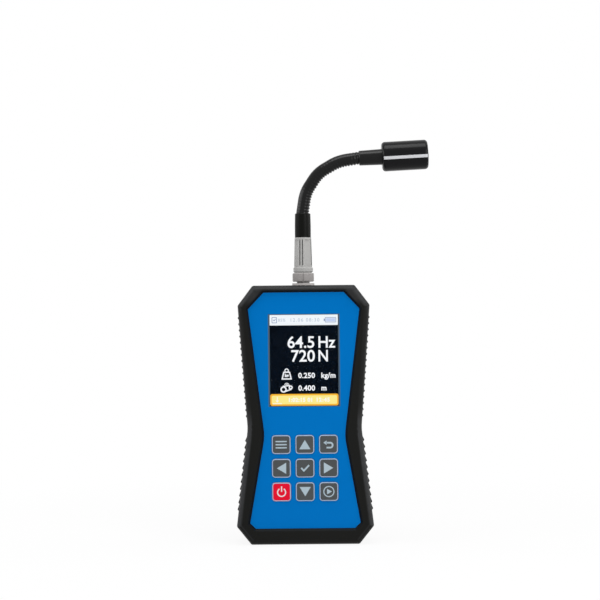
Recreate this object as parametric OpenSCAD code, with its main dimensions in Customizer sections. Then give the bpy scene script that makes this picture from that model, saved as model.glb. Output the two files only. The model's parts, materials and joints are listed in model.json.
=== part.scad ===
// Handheld belt tension tester: a meter in a rubber boot, with a colour display and nine keys,
// and an optical sensor head on a flexible neck that plugs into its top.
// Millimetres. +Z is up, the keys face -Y, and the origin is the middle of the boot's base.

/* [Body] */
// Height of the boot
body_h = 200; // [190:0.5:215]
// Depth of the boot from front to back
body_d = 40; // [38.5:0.5:48]
// Widest width, near the base
base_w = 106; // [101:0.2:112]
// Width that each lower corner cuts off the base
base_corner_w = 11.2; // [8:0.2:14]
// Height that each lower corner cuts off the side
base_corner_h = 14; // [11:0.1:18]
// Width at the waist
waist_w = 88; // [85:0.2:93]
// Height of the waist above the base
waist_z = 89.5; // [85:0.5:95]
// Width near the top
head_w = 102; // [97:0.2:108]
// Width that each upper corner cuts off the top
head_corner_w = 11.6; // [8:0.1:14]
// Height that each upper corner cuts off the side
head_corner_h = 15.4; // [11:0.1:18]
// Radius of the outer corners
corner_r = 2.2; // [1.5:0.1:4.5]
// Radius that softens the waist
waist_r = 40; // [20:1:60]

/* [Boot] */
// Thickness of the boot round the case
boot_wall = 3.6; // [2.8:0.1:4.4]
// Thickness of the lips that hold the case in front and behind
lip_t = 2; // [1.4:0.1:2.6]
// Slope on the lips' inner edges
lip_chamfer = 1.4; // [0.6:0.1:1.8]
// Width of the rounding along the outer edges, seen from the front
round_w = 5; // [1.5:0.1:5.4]
// Depth of the rounding along the outer edges, seen from the side
round_d = 5.5; // [1.5:0.1:7]
// Width of the boot's rim on the back
back_rim = 8.4; // [7:0.1:8.8]
// Play between the boot and the case
boot_gap = 0.15; // [0.05:0.05:0.3]

/* [Grip ribs] */
// Length of each grip rib from front to back
grip_len = 23; // [16:0.5:28]
// Radius of a rib in the upper row
upper_rib_r = 1.1; // [0.8:0.05:1.6]
// Height of a rib in the upper row
upper_rib_h = 0.75; // [0.4:0.05:1.1]
// Distance between ribs in the upper row
upper_rib_pitch = 4.75; // [4:0.05:4.9]
// Distance of the lowest rib in the upper row above the waist
upper_rib_start = 9.5; // [7:0.5:14]
// Height of a rib in the lower row
lower_rib_h = 0.95; // [0.6:0.05:1.5]
// Distance between ribs in the lower row
lower_rib_pitch = 5.3; // [4.6:0.05:5.4]
// Distance of the lowest rib in the lower row above the base corner
lower_rib_start = 13.1; // [8:0.1:18]
// Length of the slope on a lower rib's upper side
lower_rib_rise = 2.72; // [1.6:0.02:3.2]
// Width of a lower rib's edge
lower_rib_edge = 0.4; // [0.2:0.05:0.8]
// Length of the slope on a lower rib's underside
lower_rib_under = 1.1; // [0.6:0.05:1.6]
// Least distance of the ribs from the waist and the upper corner
rib_margin = 8; // [6:0.5:14]

/* [Front panel] */
// Width of the boot's rim above the panel
rim_top = 5.5; // [4.8:0.1:7]
// Width of the boot's rim below the panel
rim_bottom = 12.8; // [9:0.1:14]
// Width of the boot's rim at the panel's upper corners
rim_head = 8.1; // [6:0.1:8.5]
// Width of the boot's rim at the panel's waist
rim_waist = 13.2; // [8:0.1:14]
// Width of the boot's rim at the panel's lower corners
rim_base = 10.5; // [8:0.1:12]
// How far the panel's waist sits below the boot's waist
panel_drop = 5.7; // [0:0.1:8]
// Width of the panel's cut upper corners
panel_top_w = 12; // [8:0.1:14]
// Height of the panel's cut upper corners
panel_top_h = 12.8; // [9:0.1:14]
// Width of the panel's cut lower corners
panel_low_w = 4.3; // [2:0.1:6]
// Height of the panel's cut lower corners
panel_low_h = 4.2; // [2:0.1:6]
// Radius of the panel's corners
panel_r = 0.8; // [0.4:0.1:1.5]
// Thickness of the overlay
overlay_t = 0.6; // [0.5:0.05:0.9]
// Depth of the recess that the overlay lies in
overlay_recess = 0.4; // [0.2:0.05:0.5]
// Play between the overlay and the boot's lip
panel_gap = 0.3; // [0.2:0.05:0.5]

/* [Display] */
// Width of the visible display
screen_w = 52.6; // [48:0.1:54]
// Height of the visible display
screen_h = 70.1; // [64:0.1:71]
// Distance of the visible display below the panel's upper edge
screen_drop = 17.25; // [14:0.05:22]
// Border between the visible display and the overlay's cut-out
screen_border = 0.6; // [0.4:0.1:0.8]
// Thickness of the clear window
window_t = 1; // [0.8:0.05:1.1]
// How far the window reaches under the overlay
window_ledge = 1.6; // [1.2:0.1:2.4]
// Width of the display module
module_w = 64; // [60:0.5:66]
// Height of the display module
module_h = 77; // [75:0.5:78]
// Thickness of the display module
module_t = 3.6; // [3:0.1:4.2]

/* [Keys] */
// Side of a key
key_size = 14.4; // [12.5:0.1:15]
// Corner radius of a key
key_r = 2.5; // [1:0.1:3.5]
// Distance between keys
key_pitch = 18.2; // [17.6:0.1:18.8]
// How far the keys sit above the middle of the space below the display
key_shift = -0.75; // [-2:0.025:2]
// How far a key stands above the overlay
key_proud = 0.6; // [0.4:0.05:1]
// How far a key presses in
key_travel = 0.5; // [0.3:0.05:0.6]
// Play round a key in the overlay
key_gap = 0.25; // [0.15:0.05:0.35]
// Width of the flange that keeps a key behind the overlay
key_flange = 0.7; // [0.5:0.05:0.8]
// Thickness of that flange
key_flange_t = 0.6; // [0.4:0.05:0.7]
// Diameter of a key's plunger
plunger_d = 4; // [3:0.1:5]
// Height of a key switch
switch_h = 2.7; // [2.4:0.05:3]
// Side of a key switch
switch_w = 6; // [5:0.1:7]

/* [Case] */
// Thickness of the case's side walls
case_wall = 2.5; // [2.2:0.1:3]
// Thickness of the front wall
front_wall = 2.6; // [2.4:0.1:3]
// Thickness of the back wall
back_wall = 2.5; // [2:0.1:3]
// Depth of the front half
front_depth = 11.5; // [11:0.1:12]
// Width of the sealing cord between the halves
seal_w = 1.1; // [0.9:0.05:1.3]
// Depth of the sealing cord's groove
seal_d = 1; // [0.8:0.05:1.5]
// Play between pieces that lie against each other
fit = 0.1; // [0.05:0.01:0.15]
// Diameter of the case screws
case_screw_d = 2.6; // [2.2:0.1:3]
// Diameter of the case screws' heads
case_head_d = 5; // [4.4:0.1:5.4]
// Length of a screw's cross recess, as a share of its head
recess_l = 0.58; // [0.4:0.02:0.7]
// Width of a screw's cross recess, as a share of its head
recess_w = 0.16; // [0.1:0.01:0.24]
// Height of the case screws' heads
case_head_h = 1.6; // [1.2:0.1:1.9]
// Length of the case screws' thread in the front half
case_screw_grip = 5.5; // [4:0.1:7]
// Diameter of the case screws' posts
case_post_d = 7.2; // [6.6:0.1:7.6]
// Distance of the upper case screws inside the boot's upper corners
upper_screw_in = 8.1; // [7:0.1:10]
// Distance of the upper case screws below the case's top
upper_screw_drop = 10.9; // [10.4:0.1:12]
// Distance of the lower case screws inside the boot's lower corners
lower_screw_in = 4.2; // [3.2:0.1:5]
// Distance of the lower case screws above the case's bottom
lower_screw_rise = 17.4; // [16:0.1:18.4]

/* [Circuit board] */
// Width of the circuit board
board_w = 62; // [60:0.5:63]
// Distance of the circuit board's ends from the inside of the case
board_margin = 18.9; // [17.4:0.1:20]
// Thickness of the circuit board
board_t = 1.6; // [1.2:0.1:2]
// Diameter of the board screws
board_screw_d = 2; // [1.8:0.1:2.4]
// Diameter of the board screws' heads
board_head_d = 3.8; // [3.4:0.1:4.4]
// Height of the board screws' heads
board_head_h = 1.4; // [1:0.1:1.8]
// Length of the board screws in their posts
board_screw_grip = 3; // [2:0.1:3.4]
// Diameter of the board's posts
board_post_d = 5; // [4.4:0.1:5.6]
// Distance of the board screws from the board's sides
board_screw_side = 3; // [2.8:0.1:3.4]
// Distance of the lower board screws from the board's lower end
board_screw_end = 4; // [3:0.1:5]
// Distance of the upper board screws below the display module
board_screw_gap = 7; // [5:0.1:8]
// Side of the processor on the board
processor_w = 18; // [12:0.5:22]
// Distance of the processor below the display's middle
processor_drop = 13.5; // [8:0.5:18]
// Width of a memory chip
memory_w = 12; // [9:0.5:14]
// Height of a memory chip
memory_h = 9; // [7:0.5:12]
// Distance of the memory chips above the processor's middle
memory_rise = 24; // [18:0.5:28]
// Distance of the memory chips from the middle
memory_x = 16; // [8:0.5:20]
// Thickness of the chips
chip_t = 1.4; // [1:0.1:2]

/* [Cells] */
// Diameter of a cell
cell_d = 14.2; // [13.6:0.1:14.4]
// Length of a cell without its tip
cell_l = 49.2; // [48:0.1:50]
// Diameter of a cell's tip
tip_d = 5.4; // [4.6:0.1:5.6]
// Length of a cell's tip
tip_l = 1.2; // [1:0.1:1.5]
// Space between cells
cell_gap = 0.6; // [0.4:0.05:0.8]
// Length of a cell spring when a cell is in
spring_l = 5; // [4.4:0.1:6]
// Diameter of a cell spring's wire
spring_wire = 0.8; // [0.6:0.05:0.9]
// Diameter of a cell spring at its plate
spring_d = 8.6; // [7.6:0.1:9.6]
// Thickness of a cell plate
plate_t = 0.5; // [0.3:0.05:0.7]
// Side of a cell plate
plate_w = 11; // [10.4:0.1:12]
// Height of the cell bay's lower end
bay_z = 28; // [27:0.5:29]
// Thickness of the cell bay's walls
bay_wall = 1.8; // [1.7:0.05:2.2]
// Play between the cells and the battery door
cell_play = 0.4; // [0.2:0.05:0.6]
// Thickness of the battery door
door_t = 2.2; // [1.8:0.1:2.4]
// How far the battery door overlaps the bay's walls
door_ledge = 1.4; // [1:0.1:1.5]
// Play round the battery door
door_gap = 0.2; // [0.15:0.05:0.25]
// Width of the screw tabs above and below the door
tab_w = 16; // [14:0.5:20]
// Height of the door's screw tabs
tab_h = 7; // [6.4:0.1:8]
// Diameter of the door screws
door_screw_d = 2.6; // [2.2:0.1:2.8]
// Diameter of the door screws' heads
door_head_d = 4.8; // [4.2:0.1:5.2]
// Height of the door screws' heads
door_head_h = 1.2; // [0.8:0.1:1.3]
// Length of the door screws behind the door
door_screw_l = 6; // [4:0.1:7]
// Diameter of the door screws' posts
door_post_d = 8.2; // [7:0.1:9]
// Distance between the grooves for a thumb on the door
thumb_pitch = 3.5; // [2.4:0.1:4]
// Width of those grooves
thumb_d = 1.4; // [1:0.1:2]

/* [Socket and plug] */
// Distance of the socket's axis behind the line where the case halves part
socket_set = 8.5; // [8:0.1:10]
// Diameter of the socket's flange
flange_d = 17.4; // [16.4:0.1:18.4]
// How far the flange stands above the boot
flange_proud = 1.7; // [0.6:0.1:2]
// Play between the flange and the boot
flange_gap = 0.4; // [0.3:0.05:0.6]
// Diameter of the socket's barrel
barrel_d = 12.6; // [12.4:0.1:13]
// Length of the socket's barrel below the flange
barrel_l = 16; // [14:0.5:20]
// Width of the socket's nut across its flats
nut_w = 14.6; // [14.4:0.1:15]
// Height of the socket's nut
nut_h = 2.6; // [2:0.1:3.5]
// Diameter of the plug's nose
nose_d = 10; // [9.4:0.1:10.4]
// Wall of the plug's nose
nose_wall = 0.9; // [0.7:0.05:1.2]
// Length of the nose below the flange's top
nose_l = 13; // [11:0.5:14]
// Play between the nose and the socket
nose_gap = 0.1; // [0.08:0.01:0.15]
// Length of nose that shows between the flange and the collar
nose_show = 1.3; // [0.8:0.1:2]
// Thickness of the socket's insulator
insulator_t = 2.4; // [2:0.1:3]
// Diameter of a contact pin
pin_d = 0.9; // [0.7:0.05:1.1]
// Length of a contact pin above its insulator
pin_l = 6; // [4:0.1:7]
// Radius of the ring of contact pins
pin_ring_r = 2.4; // [2:0.05:2.6]
// Diameter of the collar
collar_d = 16.7; // [15.8:0.1:17.4]
// Height of the collar
collar_h = 6.6; // [5:0.1:8]
// Slope on the collar's edges
collar_bevel = 0.5; // [0.2:0.05:0.8]
// Depth of the collar's marking grooves
collar_mark = 0.35; // [0.2:0.05:0.5]
// Diameter of the spigot inside the collar
spigot_d = 12.4; // [11.6:0.1:13]
// Height of the waist between the collar and the ring
groove_h = 0.8; // [0.5:0.05:1.2]
// Diameter of that waist
groove_d = 13.8; // [13.2:0.1:14.4]
// Diameter of the plug's ring
ring_d = 15.3; // [14.6:0.1:15.6]
// Height of the plug's ring
ring_h = 3.6; // [3:0.1:4.4]
// Diameter of the plug's grip at its lower end
grip_d0 = 14.1; // [13.2:0.1:14.2]
// Diameter of the plug's grip at its upper end
grip_d1 = 12.9; // [12:0.1:13.4]
// Height of the plug's grip
grip_h = 23.4; // [20:0.1:28]
// Depth of the flats on the grip
flat_depth = 0.75; // [0.4:0.05:0.9]
// Margin of the flats at the grip's ends
flat_margin = 1.6; // [1:0.1:3]
// Width of the slots between the flats
slot_w = 0.8; // [0.4:0.05:1]
// Depth of the slots between the flats
slot_depth = 0.65; // [0.3:0.05:0.8]
// Angle of the slots from the middle between the flats
slot_angle = 9; // [7:0.5:11]
// Turn of the plug, so that a pair of slots lies left of the front
plug_turn = -12.5; // [-20:0.5:0]

/* [Neck] */
// Height of the sleeve at the foot of the neck
sleeve_h = 18.9; // [15:0.1:20]
// Diameter of the sleeve at its lower end
sleeve_d0 = 12.5; // [12.4:0.1:13.4]
// Diameter of the sleeve at its upper end
sleeve_d1 = 12.1; // [11.6:0.1:12.6]
// Diameter of the spigot inside the sleeve
tail_d = 9; // [8.4:0.1:9.6]
// Length of the spigot inside the sleeve
tail_l = 7; // [5:0.1:8]
// Angle that the neck turns through
neck_turn = 87.25; // [70:0.25:100]
// How much less each bend turns than the one below it
bend_taper = 0.4; // [0:0.05:0.4]
// How much more the middle bends turn than those at the ends
bend_bow = 0.48; // [0:0.02:0.5]
// Distance between the links' joints
link_len = 6.1; // [5.7:0.05:6.6]
// Diameter over the links' ridges
ridge_d = 10.1; // [9.9:0.05:10.4]
// Width of a ridge
ridge_w = 1.45; // [1.2:0.05:1.5]
// Slope on a ridge's edges
ridge_bevel = 0.25; // [0.15:0.05:0.3]
// Height of a ridge
ridge_h = 0.6; // [0.5:0.05:0.7]
// How far a link's ball stands out beyond the groove between the ridges
ball_proud = 0.1; // [0.05:0.05:0.15]
// Play between a ball and its cup
ball_gap = 0.12; // [0.08:0.01:0.15]
// Distance from a joint to the ridges on both sides of it
joint_gap = 0.8; // [0.75:0.05:0.9]
// Diameter of the wire passage through the neck
wire_d = 3; // [2:0.1:3.6]

/* [Sensor head] */
// Length of the ferrule behind the head
ferrule_l = 18; // [14:0.1:22]
// Diameter of the ferrule at the neck
ferrule_d0 = 11.6; // [11:0.1:12]
// Diameter of the ferrule at the head
ferrule_d1 = 12.4; // [11.6:0.1:13]
// Diameter of the ferrule's spigot in the head
ferrule_spigot_d = 9.6; // [8.6:0.1:10.4]
// Diameter of the head
head_d = 23.1; // [22.4:0.1:25]
// Length of the head
head_l = 36; // [34:0.5:44]
// Radius of the head's edges
head_r = 2.7; // [1.5:0.1:3]
// Thickness of the head's back wall
head_back = 3.2; // [3:0.1:4.5]
// Thickness of the head's wall
head_wall = 2.35; // [2.1:0.05:2.8]
// Thickness of the head's wall round the window
seat_wall = 1.55; // [1.4:0.05:1.9]
// Thickness of the window
lens_t = 1.6; // [1.2:0.1:2]
// Thickness of the ring that keeps the window
lens_ring_t = 0.8; // [0.5:0.1:1]
// Width of that ring
lens_ring_w = 1; // [0.7:0.05:1.3]
// How far the ring lies behind the head's end
lens_inset = 0.6; // [0.3:0.1:1.2]
// Width of the white stripe
stripe_w = 2.4; // [2:0.1:3.6]
// Depth of the white stripe
stripe_t = 0.7; // [0.4:0.05:0.9]
// Angle of the white stripe below the head's front
stripe_turn = 10; // [0:0.5:14]
// Distance of the white stripe from the head's back
stripe_start = 1; // [0.4:0.1:2.4]
// Thickness of the sensor board
sensor_board_t = 1.4; // [1:0.1:2]
// Distance of the sensor board from the window's seat
sensor_board_set = 11; // [10:0.1:13]
// Diameter of the emitter and of each receiver
diode_d = 5; // [4:0.1:5.2]
// Length of the emitter and receivers below their domes
diode_l = 5.6; // [4:0.1:6.4]
// Space between a receiver and the head's wall
diode_edge = 0.7; // [0.4:0.05:1]

/* [Hidden] */
$fn = 64;
over = 1;
corner_steps = 4;
round_steps = 6;
key_rows = [["menu", "up", "back"], ["left", "ok", "right"], ["power", "down", "start"]];
cells = 4;
pins = 6;
grip_flats = 4;
links = 11;
spring_turns = 3;
spring_sides = 6;
spring_steps = 12;
thumb_grooves = 5;

// levels from front to back
front_y = -body_d / 2;
back_y = body_d / 2;
face_y = front_y + lip_t;
rear_y = back_y - lip_t;
split_y = face_y + front_depth;
socket_y = split_y + socket_set;
overlay_front_y = face_y + overlay_recess - overlay_t;
overlay_back_y = face_y + overlay_recess;
window_back_y = overlay_back_y + window_t;
wall_y = face_y + front_wall;
module_y = wall_y + fit;
board_y = module_y + module_t + fit;
switch_y = board_y - switch_h;
flange_y = overlay_back_y + fit;
key_floor_y = flange_y + key_flange_t + key_travel + 2 * fit;
plunger_y = switch_y - key_travel - fit;
back_in_y = rear_y - back_wall;
door_y = rear_y - door_t;
cell_y = door_y - cell_play - cell_d / 2;
bay_floor_y = cell_y - cell_d / 2 - fit;

// levels from the base up
case_top = body_h - boot_wall;
upper_rib_z = waist_z + upper_rib_start;
upper_ribs = 1 + floor((body_h - head_corner_h - rib_margin - upper_rib_z) / upper_rib_pitch);
lower_rib_z = base_corner_h + lower_rib_start;
lower_ribs = 1 + floor((waist_z - rib_margin - lower_rib_z) / lower_rib_pitch);
screen_z = body_h - rim_top - screen_drop - screen_h / 2;
key_z = (rim_bottom + screen_z - screen_h / 2) / 2 + key_shift;
board_low = boot_wall + case_wall + board_margin;
board_h = body_h - 2 * board_low;
board_z = body_h / 2;
processor_z = screen_z - processor_drop;
cell_pitch = cell_d + cell_gap;
bay_h = cell_l + tip_l + spring_l + 2 * plate_t + 2 * fit;
bay_w = cells * cell_pitch;
flange_top = body_h + flange_proud;
collar_z = flange_top + nose_show;
groove_z = collar_z + collar_h;
ring_z = groove_z + groove_h;
grip_z = ring_z + ring_h;
sleeve_z = grip_z + grip_h;
sleeve_top = sleeve_z + sleeve_h;
bore_d = nose_d + 2 * nose_gap;
bore_floor_z = case_top - barrel_l + nose_wall;
nose_z = flange_top - nose_l;

upper_screw = [head_w / 2 - head_corner_w - upper_screw_in, case_top - upper_screw_drop];
lower_screw = [base_w / 2 - base_corner_w - lower_screw_in, boot_wall + lower_screw_rise];
case_screw_points = [for (p = [upper_screw, lower_screw], s = [-1, 1]) [s * p.x, p.y]];
board_screw_points =
    [for (s = [-1, 1], z = [board_low + board_screw_end, screen_z - module_h / 2 - board_screw_gap])
        [s * (board_w / 2 - board_screw_side), z]];
tab_z = bay_h / 2 + door_ledge + tab_h / 2 - fit;
door_mid_z = bay_z + bay_h / 2;
door_screw_points = [for (s = [-1, 1]) [0, door_mid_z + s * tab_z]];

root_d = ridge_d - 2 * ridge_h;
ball_d = root_d + 2 * ball_proud;
head_bore = head_d - 2 * head_wall;
seat_d = head_d - 2 * seat_wall;
diode_pitch = (head_bore - diode_d) / 2 - diode_edge;

// the neck's bends: every third joint, starting from the second, swings sideways and is straight at rest
bends = links + 1 - floor((links + 2) / 3);
last_bend = bends - 1;
function swings(j) = j % 3 == 2;
function bend_no(j) = j - 1 - floor((j + 1) / 3);
function bend(j) =
    swings(j) ? 0
              : let (k = bend_no(j))
                neck_turn / bends + bend_taper * (last_bend / 2 - k)
                    + bend_bow * (k * (last_bend - k) - last_bend * (last_bend - 1) / 6);
function lean(j) = j == 0 ? 0 : lean(j - 1) + bend(j);
function joint_at(j) =
    j == 1 ? [0, socket_y, sleeve_top + joint_gap]
           : joint_at(j - 1) + link_len * [sin(lean(j - 1)), 0, cos(lean(j - 1))];

function two(i) = str(i < 10 ? "0" : "", i);
function link_name(i) = str("neck_link_", two(i));
function key_name(r, c) = str("key_", key_rows[r][c]);
function key_at(r, c) = [(c - 1) * key_pitch, key_z + (1 - r) * key_pitch];

// outlines seen from the front, as points (x, z) that run anticlockwise

function mirrored(half) = concat(half, [for (i = [len(half) - 1:-1:0]) [-half[i].x, half[i].y]]);
function unit(v) = v / norm(v);
function inward(a, b) = let (d = unit(b - a)) [-d.y, d.x];
function turned(v, a) = [v.x * cos(a) - v.y * sin(a), v.x * sin(a) + v.y * cos(a)];

// an outline moved inwards by d, with its corners kept sharp
function inset(pts, d) =
    let (n = len(pts))
    [for (i = [0:n - 1])
        let (n0 = inward(pts[(i + n - 1) % n], pts[i]), n1 = inward(pts[i], pts[(i + 1) % n]))
        pts[i] + d * (n0 + n1) / (1 + n0 * n1)];

// an outline with an arc of its own radius at each corner
function softened(pts, radii) =
    let (n = len(pts))
    [for (i = [0:n - 1])
        let (u0 = unit(pts[i] - pts[(i + n - 1) % n]),
             u1 = unit(pts[(i + 1) % n] - pts[i]),
             turn = atan2(u0.x * u1.y - u0.y * u1.x, u0 * u1),
             start = pts[i] - radii[i] * tan(abs(turn) / 2) * u0,
             arm = sign(turn) * radii[i] * [u0.y, -u0.x])
        for (k = [0:corner_steps]) start - arm + turned(arm, turn * k / corner_steps)];

body_points = mirrored([
    [base_w / 2 - base_corner_w, 0], [base_w / 2, base_corner_h], [waist_w / 2, waist_z],
    [head_w / 2, body_h - head_corner_h], [head_w / 2 - head_corner_w, body_h]]);
panel_points = mirrored([
    [base_w / 2 - rim_base - panel_low_w, rim_bottom],
    [base_w / 2 - rim_base, rim_bottom + panel_low_h],
    [waist_w / 2 - rim_waist, waist_z - panel_drop],
    [head_w / 2 - rim_head, body_h - rim_top - panel_top_h],
    [head_w / 2 - rim_head - panel_top_w, body_h - rim_top]]);

// the hourglass outline: the waist is the third corner on each side
function hourglass(pts, d, r, waist) =
    softened(inset(pts, d), [for (i = [0:9]) i == 2 || i == 7 ? waist + d : max(r - d, r / 4)]);
function body_ring(d) = hourglass(body_points, d, corner_r, waist_r);
function case_ring(d) = body_ring(boot_wall + d);
function panel_ring(d) = hourglass(panel_points, d, panel_r, waist_r);
function box_ring(w, h, r, mid) =
    softened([for (s = [[1, -1], [1, 1], [-1, 1], [-1, -1]]) [mid.x + s.x * w / 2, mid.y + s.y * h / 2]],
             [r, r, r, r]);

// half width of the boot at a height, between its base and head corners
function side_x(z) =
    z < waist_z
        ? base_w / 2 - (base_w - waist_w) / 2 * (z - base_corner_h) / (waist_z - base_corner_h)
        : waist_w / 2 + (head_w - waist_w) / 2 * (z - waist_z) / (body_h - head_corner_h - waist_z);
function side_lean(z) =
    z < waist_z
        ? atan(-(base_w - waist_w) / 2 / (waist_z - base_corner_h))
        : atan((head_w - waist_w) / 2 / (body_h - head_corner_h - waist_z));

// a plate with an outline, from one depth to another
module slab(pts, y0, y1) {
    translate([0, y1, 0]) rotate([90, 0, 0]) linear_extrude(y1 - y0) polygon(pts);
}

module box_slab(w, h, mid, y0, y1) {
    translate([mid.x - w / 2, y0, mid.y - h / 2]) cube([w, y1 - y0, h]);
}

// a round bar from front to back
module post(at, d, y0, y1) {
    translate([at.x, y1, at.y]) rotate([90, 0, 0]) cylinder(d = d, h = y1 - y0);
}

// a skin over rings that lie at the depths in ys, each ring mirrored left to right
module loft(ys, rings) {
    n = len(rings[0]);
    m = len(rings);
    polyhedron(
        points = [for (k = [0:m - 1], p = rings[k]) [p.x, ys[k], p.y]],
        faces = concat(
            [for (j = [0:n / 2 - 2]) [n - 1 - j, n - 2 - j, j + 1, j]],
            [for (j = [0:n / 2 - 2], b = [(m - 1) * n]) [b + j, b + j + 1, b + n - 2 - j, b + n - 1 - j]],
            [for (k = [0:m - 2], j = [0:n - 1])
                [k * n + j, k * n + (j + 1) % n, (k + 1) * n + (j + 1) % n, (k + 1) * n + j]]));
}

// the boot's outside, rounded along its front and back edges
module boot_outside() {
    a = [for (k = [0:round_steps]) 90 * k / round_steps];
    edge = [for (v = a) [round_d * (1 - cos(v)), round_w * (1 - sin(v))]];
    ys = concat([for (e = edge) front_y + e[0]], [for (i = [round_steps:-1:0]) back_y - edge[i][0]]);
    ds = concat([for (e = edge) e[1]], [for (i = [round_steps:-1:0]) edge[i][1]]);
    loft(ys, [for (d = ds) body_ring(d)]);
}

// round ribs above the waist, and ribs like saw teeth that point down below it
module grip_ribs() {
    for (s = [0, 1]) mirror([s, 0, 0]) {
        for (i = [0:upper_ribs - 1]) {
            z = upper_rib_z + i * upper_rib_pitch;
            translate([side_x(z) + upper_rib_h - upper_rib_r, 0, z]) rotate([90, 0, 0])
                cylinder(r = upper_rib_r, h = grip_len, center = true);
        }
        for (i = [0:lower_ribs - 1]) {
            z = lower_rib_z + i * lower_rib_pitch;
            translate([side_x(z), grip_len / 2, z]) rotate([90, 0, 0]) rotate(-side_lean(z))
                linear_extrude(grip_len)
                    polygon([[-over, lower_rib_rise], [0, lower_rib_rise], [lower_rib_h, 0],
                             [lower_rib_h, -lower_rib_edge], [0, -lower_rib_edge - lower_rib_under],
                             [-over, -lower_rib_edge - lower_rib_under]]);
        }
    }
}

module rubber_boot() {
    front_ring = -panel_gap;
    slope = lip_chamfer / lip_t;
    color("#2a2a28") difference() {
        union() {
            boot_outside();
            grip_ribs();
        }
        slab(case_ring(-boot_gap), face_y, rear_y);
        loft([front_y - over, face_y + over],
             [for (d = [lip_chamfer + over * slope, -over * slope]) panel_ring(front_ring - d)]);
        loft([rear_y - over, back_y + over],
             [for (d = [over * slope, -lip_chamfer - over * slope]) body_ring(back_rim + d)]);
        translate([0, socket_y, case_top - over])
            cylinder(d = flange_d + 2 * flange_gap, h = boot_wall + 2 * over);
    }
}

module front_shell() {
    color("#1d1e20") difference() {
        union() {
            difference() {
                slab(case_ring(0), face_y, split_y);
                slab(case_ring(case_wall), wall_y, split_y + over);
            }
            for (p = case_screw_points) post(p, case_post_d, wall_y - over, split_y);
            for (p = board_screw_points) post(p, board_post_d, wall_y - over, board_y);
        }
        slab(panel_ring(-fit), face_y - over, overlay_back_y);
        box_slab(screen_w + 2 * (screen_border + window_ledge + fit),
                 screen_h + 2 * (screen_border + window_ledge + fit),
                 [0, screen_z], face_y - over, window_back_y);
        box_slab(screen_w + 2 * screen_border, screen_h + 2 * screen_border, [0, screen_z],
                 face_y - over, wall_y + over);
        for (r = [0:2], c = [0:2]) {
            slab(box_ring(key_size + 2 * (key_flange + key_gap), key_size + 2 * (key_flange + key_gap),
                          key_r, key_at(r, c)), face_y - over, key_floor_y);
            post(key_at(r, c), plunger_d + 4 * key_gap, face_y - over, wall_y + over);
        }
        for (p = case_screw_points)
            post(p, case_screw_d + fit, split_y - case_screw_grip - fit, split_y + over);
        for (p = board_screw_points)
            post(p, board_screw_d + fit, board_y - board_screw_grip - fit, board_y + over);
    }
}

// the door's outline with its two screw tabs
module door_plate(grow, y0, y1) {
    box_slab(bay_w + 2 * (door_ledge + grow), bay_h + 2 * (door_ledge + grow), [0, door_mid_z], y0, y1);
    box_slab(tab_w + 2 * grow, bay_h + 2 * (door_ledge + tab_h - fit + grow), [0, door_mid_z], y0, y1);
}

module rear_shell() {
    color("#1d1e20") difference() {
        union() {
            difference() {
                slab(case_ring(0), split_y, rear_y);
                slab(case_ring(case_wall), split_y - over, back_in_y);
            }
            for (p = case_screw_points) post(p, case_post_d, split_y, back_in_y + over);
            for (p = door_screw_points)
                post(p, door_post_d, door_y - door_screw_l - bay_wall, back_in_y + over);
            box_slab(bay_w + 2 * bay_wall, bay_h + 2 * bay_wall, [0, door_mid_z],
                     bay_floor_y - bay_wall, back_in_y + over);
            box_slab(tab_w + 2 * (door_gap + bay_wall), bay_h + 2 * (door_ledge + tab_h + door_gap + fit),
                     [0, door_mid_z], door_y - fit - bay_wall, back_in_y + over);
        }
        box_slab(bay_w, bay_h, [0, door_mid_z], bay_floor_y, rear_y + over);
        door_plate(door_gap, door_y - fit, rear_y + over);
        for (p = door_screw_points)
            post(p, door_screw_d + 2 * door_gap, door_y - door_screw_l - fit, rear_y);
        for (p = case_screw_points) {
            post(p, case_screw_d + 2 * fit, split_y - over, rear_y + over);
            post(p, case_head_d + 2 * fit, rear_y - case_head_h - 2 * fit, rear_y + over);
        }
        translate([0, socket_y, case_top - case_wall - over])
            cylinder(d = barrel_d + 2 * fit, h = case_wall + 2 * over);
        seal(fit / 2, split_y - over);
    }
}

// the cord's run in the middle of the case's wall
module seal(play, y0) {
    difference() {
        slab(case_ring((case_wall - seal_w) / 2 - play), y0, split_y + seal_d);
        slab(case_ring((case_wall + seal_w) / 2 + play), y0 - over, split_y + seal_d + over);
    }
}

module case_seal() { color("#8b2f2a") seal(0, split_y); }

module front_overlay() {
    color("#0070be") difference() {
        slab(panel_ring(0), overlay_front_y, overlay_back_y);
        box_slab(screen_w + 2 * screen_border, screen_h + 2 * screen_border, [0, screen_z],
                 overlay_front_y - over, overlay_back_y + over);
        for (r = [0:2], c = [0:2])
            slab(box_ring(key_size + 2 * key_gap, key_size + 2 * key_gap, key_r + key_gap, key_at(r, c)),
                 overlay_front_y - over, overlay_back_y + over);
    }
}

module display_window() {
    color("#c9d2dc", 0.4)
        box_slab(screen_w + 2 * (screen_border + window_ledge),
                 screen_h + 2 * (screen_border + window_ledge),
                 [0, screen_z], overlay_back_y, window_back_y);
}

module display_module() {
    color("#0c1421") {
        box_slab(module_w, module_h, [0, screen_z], module_y, module_y + module_t);
        box_slab(screen_w + screen_border, screen_h + screen_border, [0, screen_z],
                 window_back_y + fit, module_y + module_t / 2);
    }
}

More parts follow.
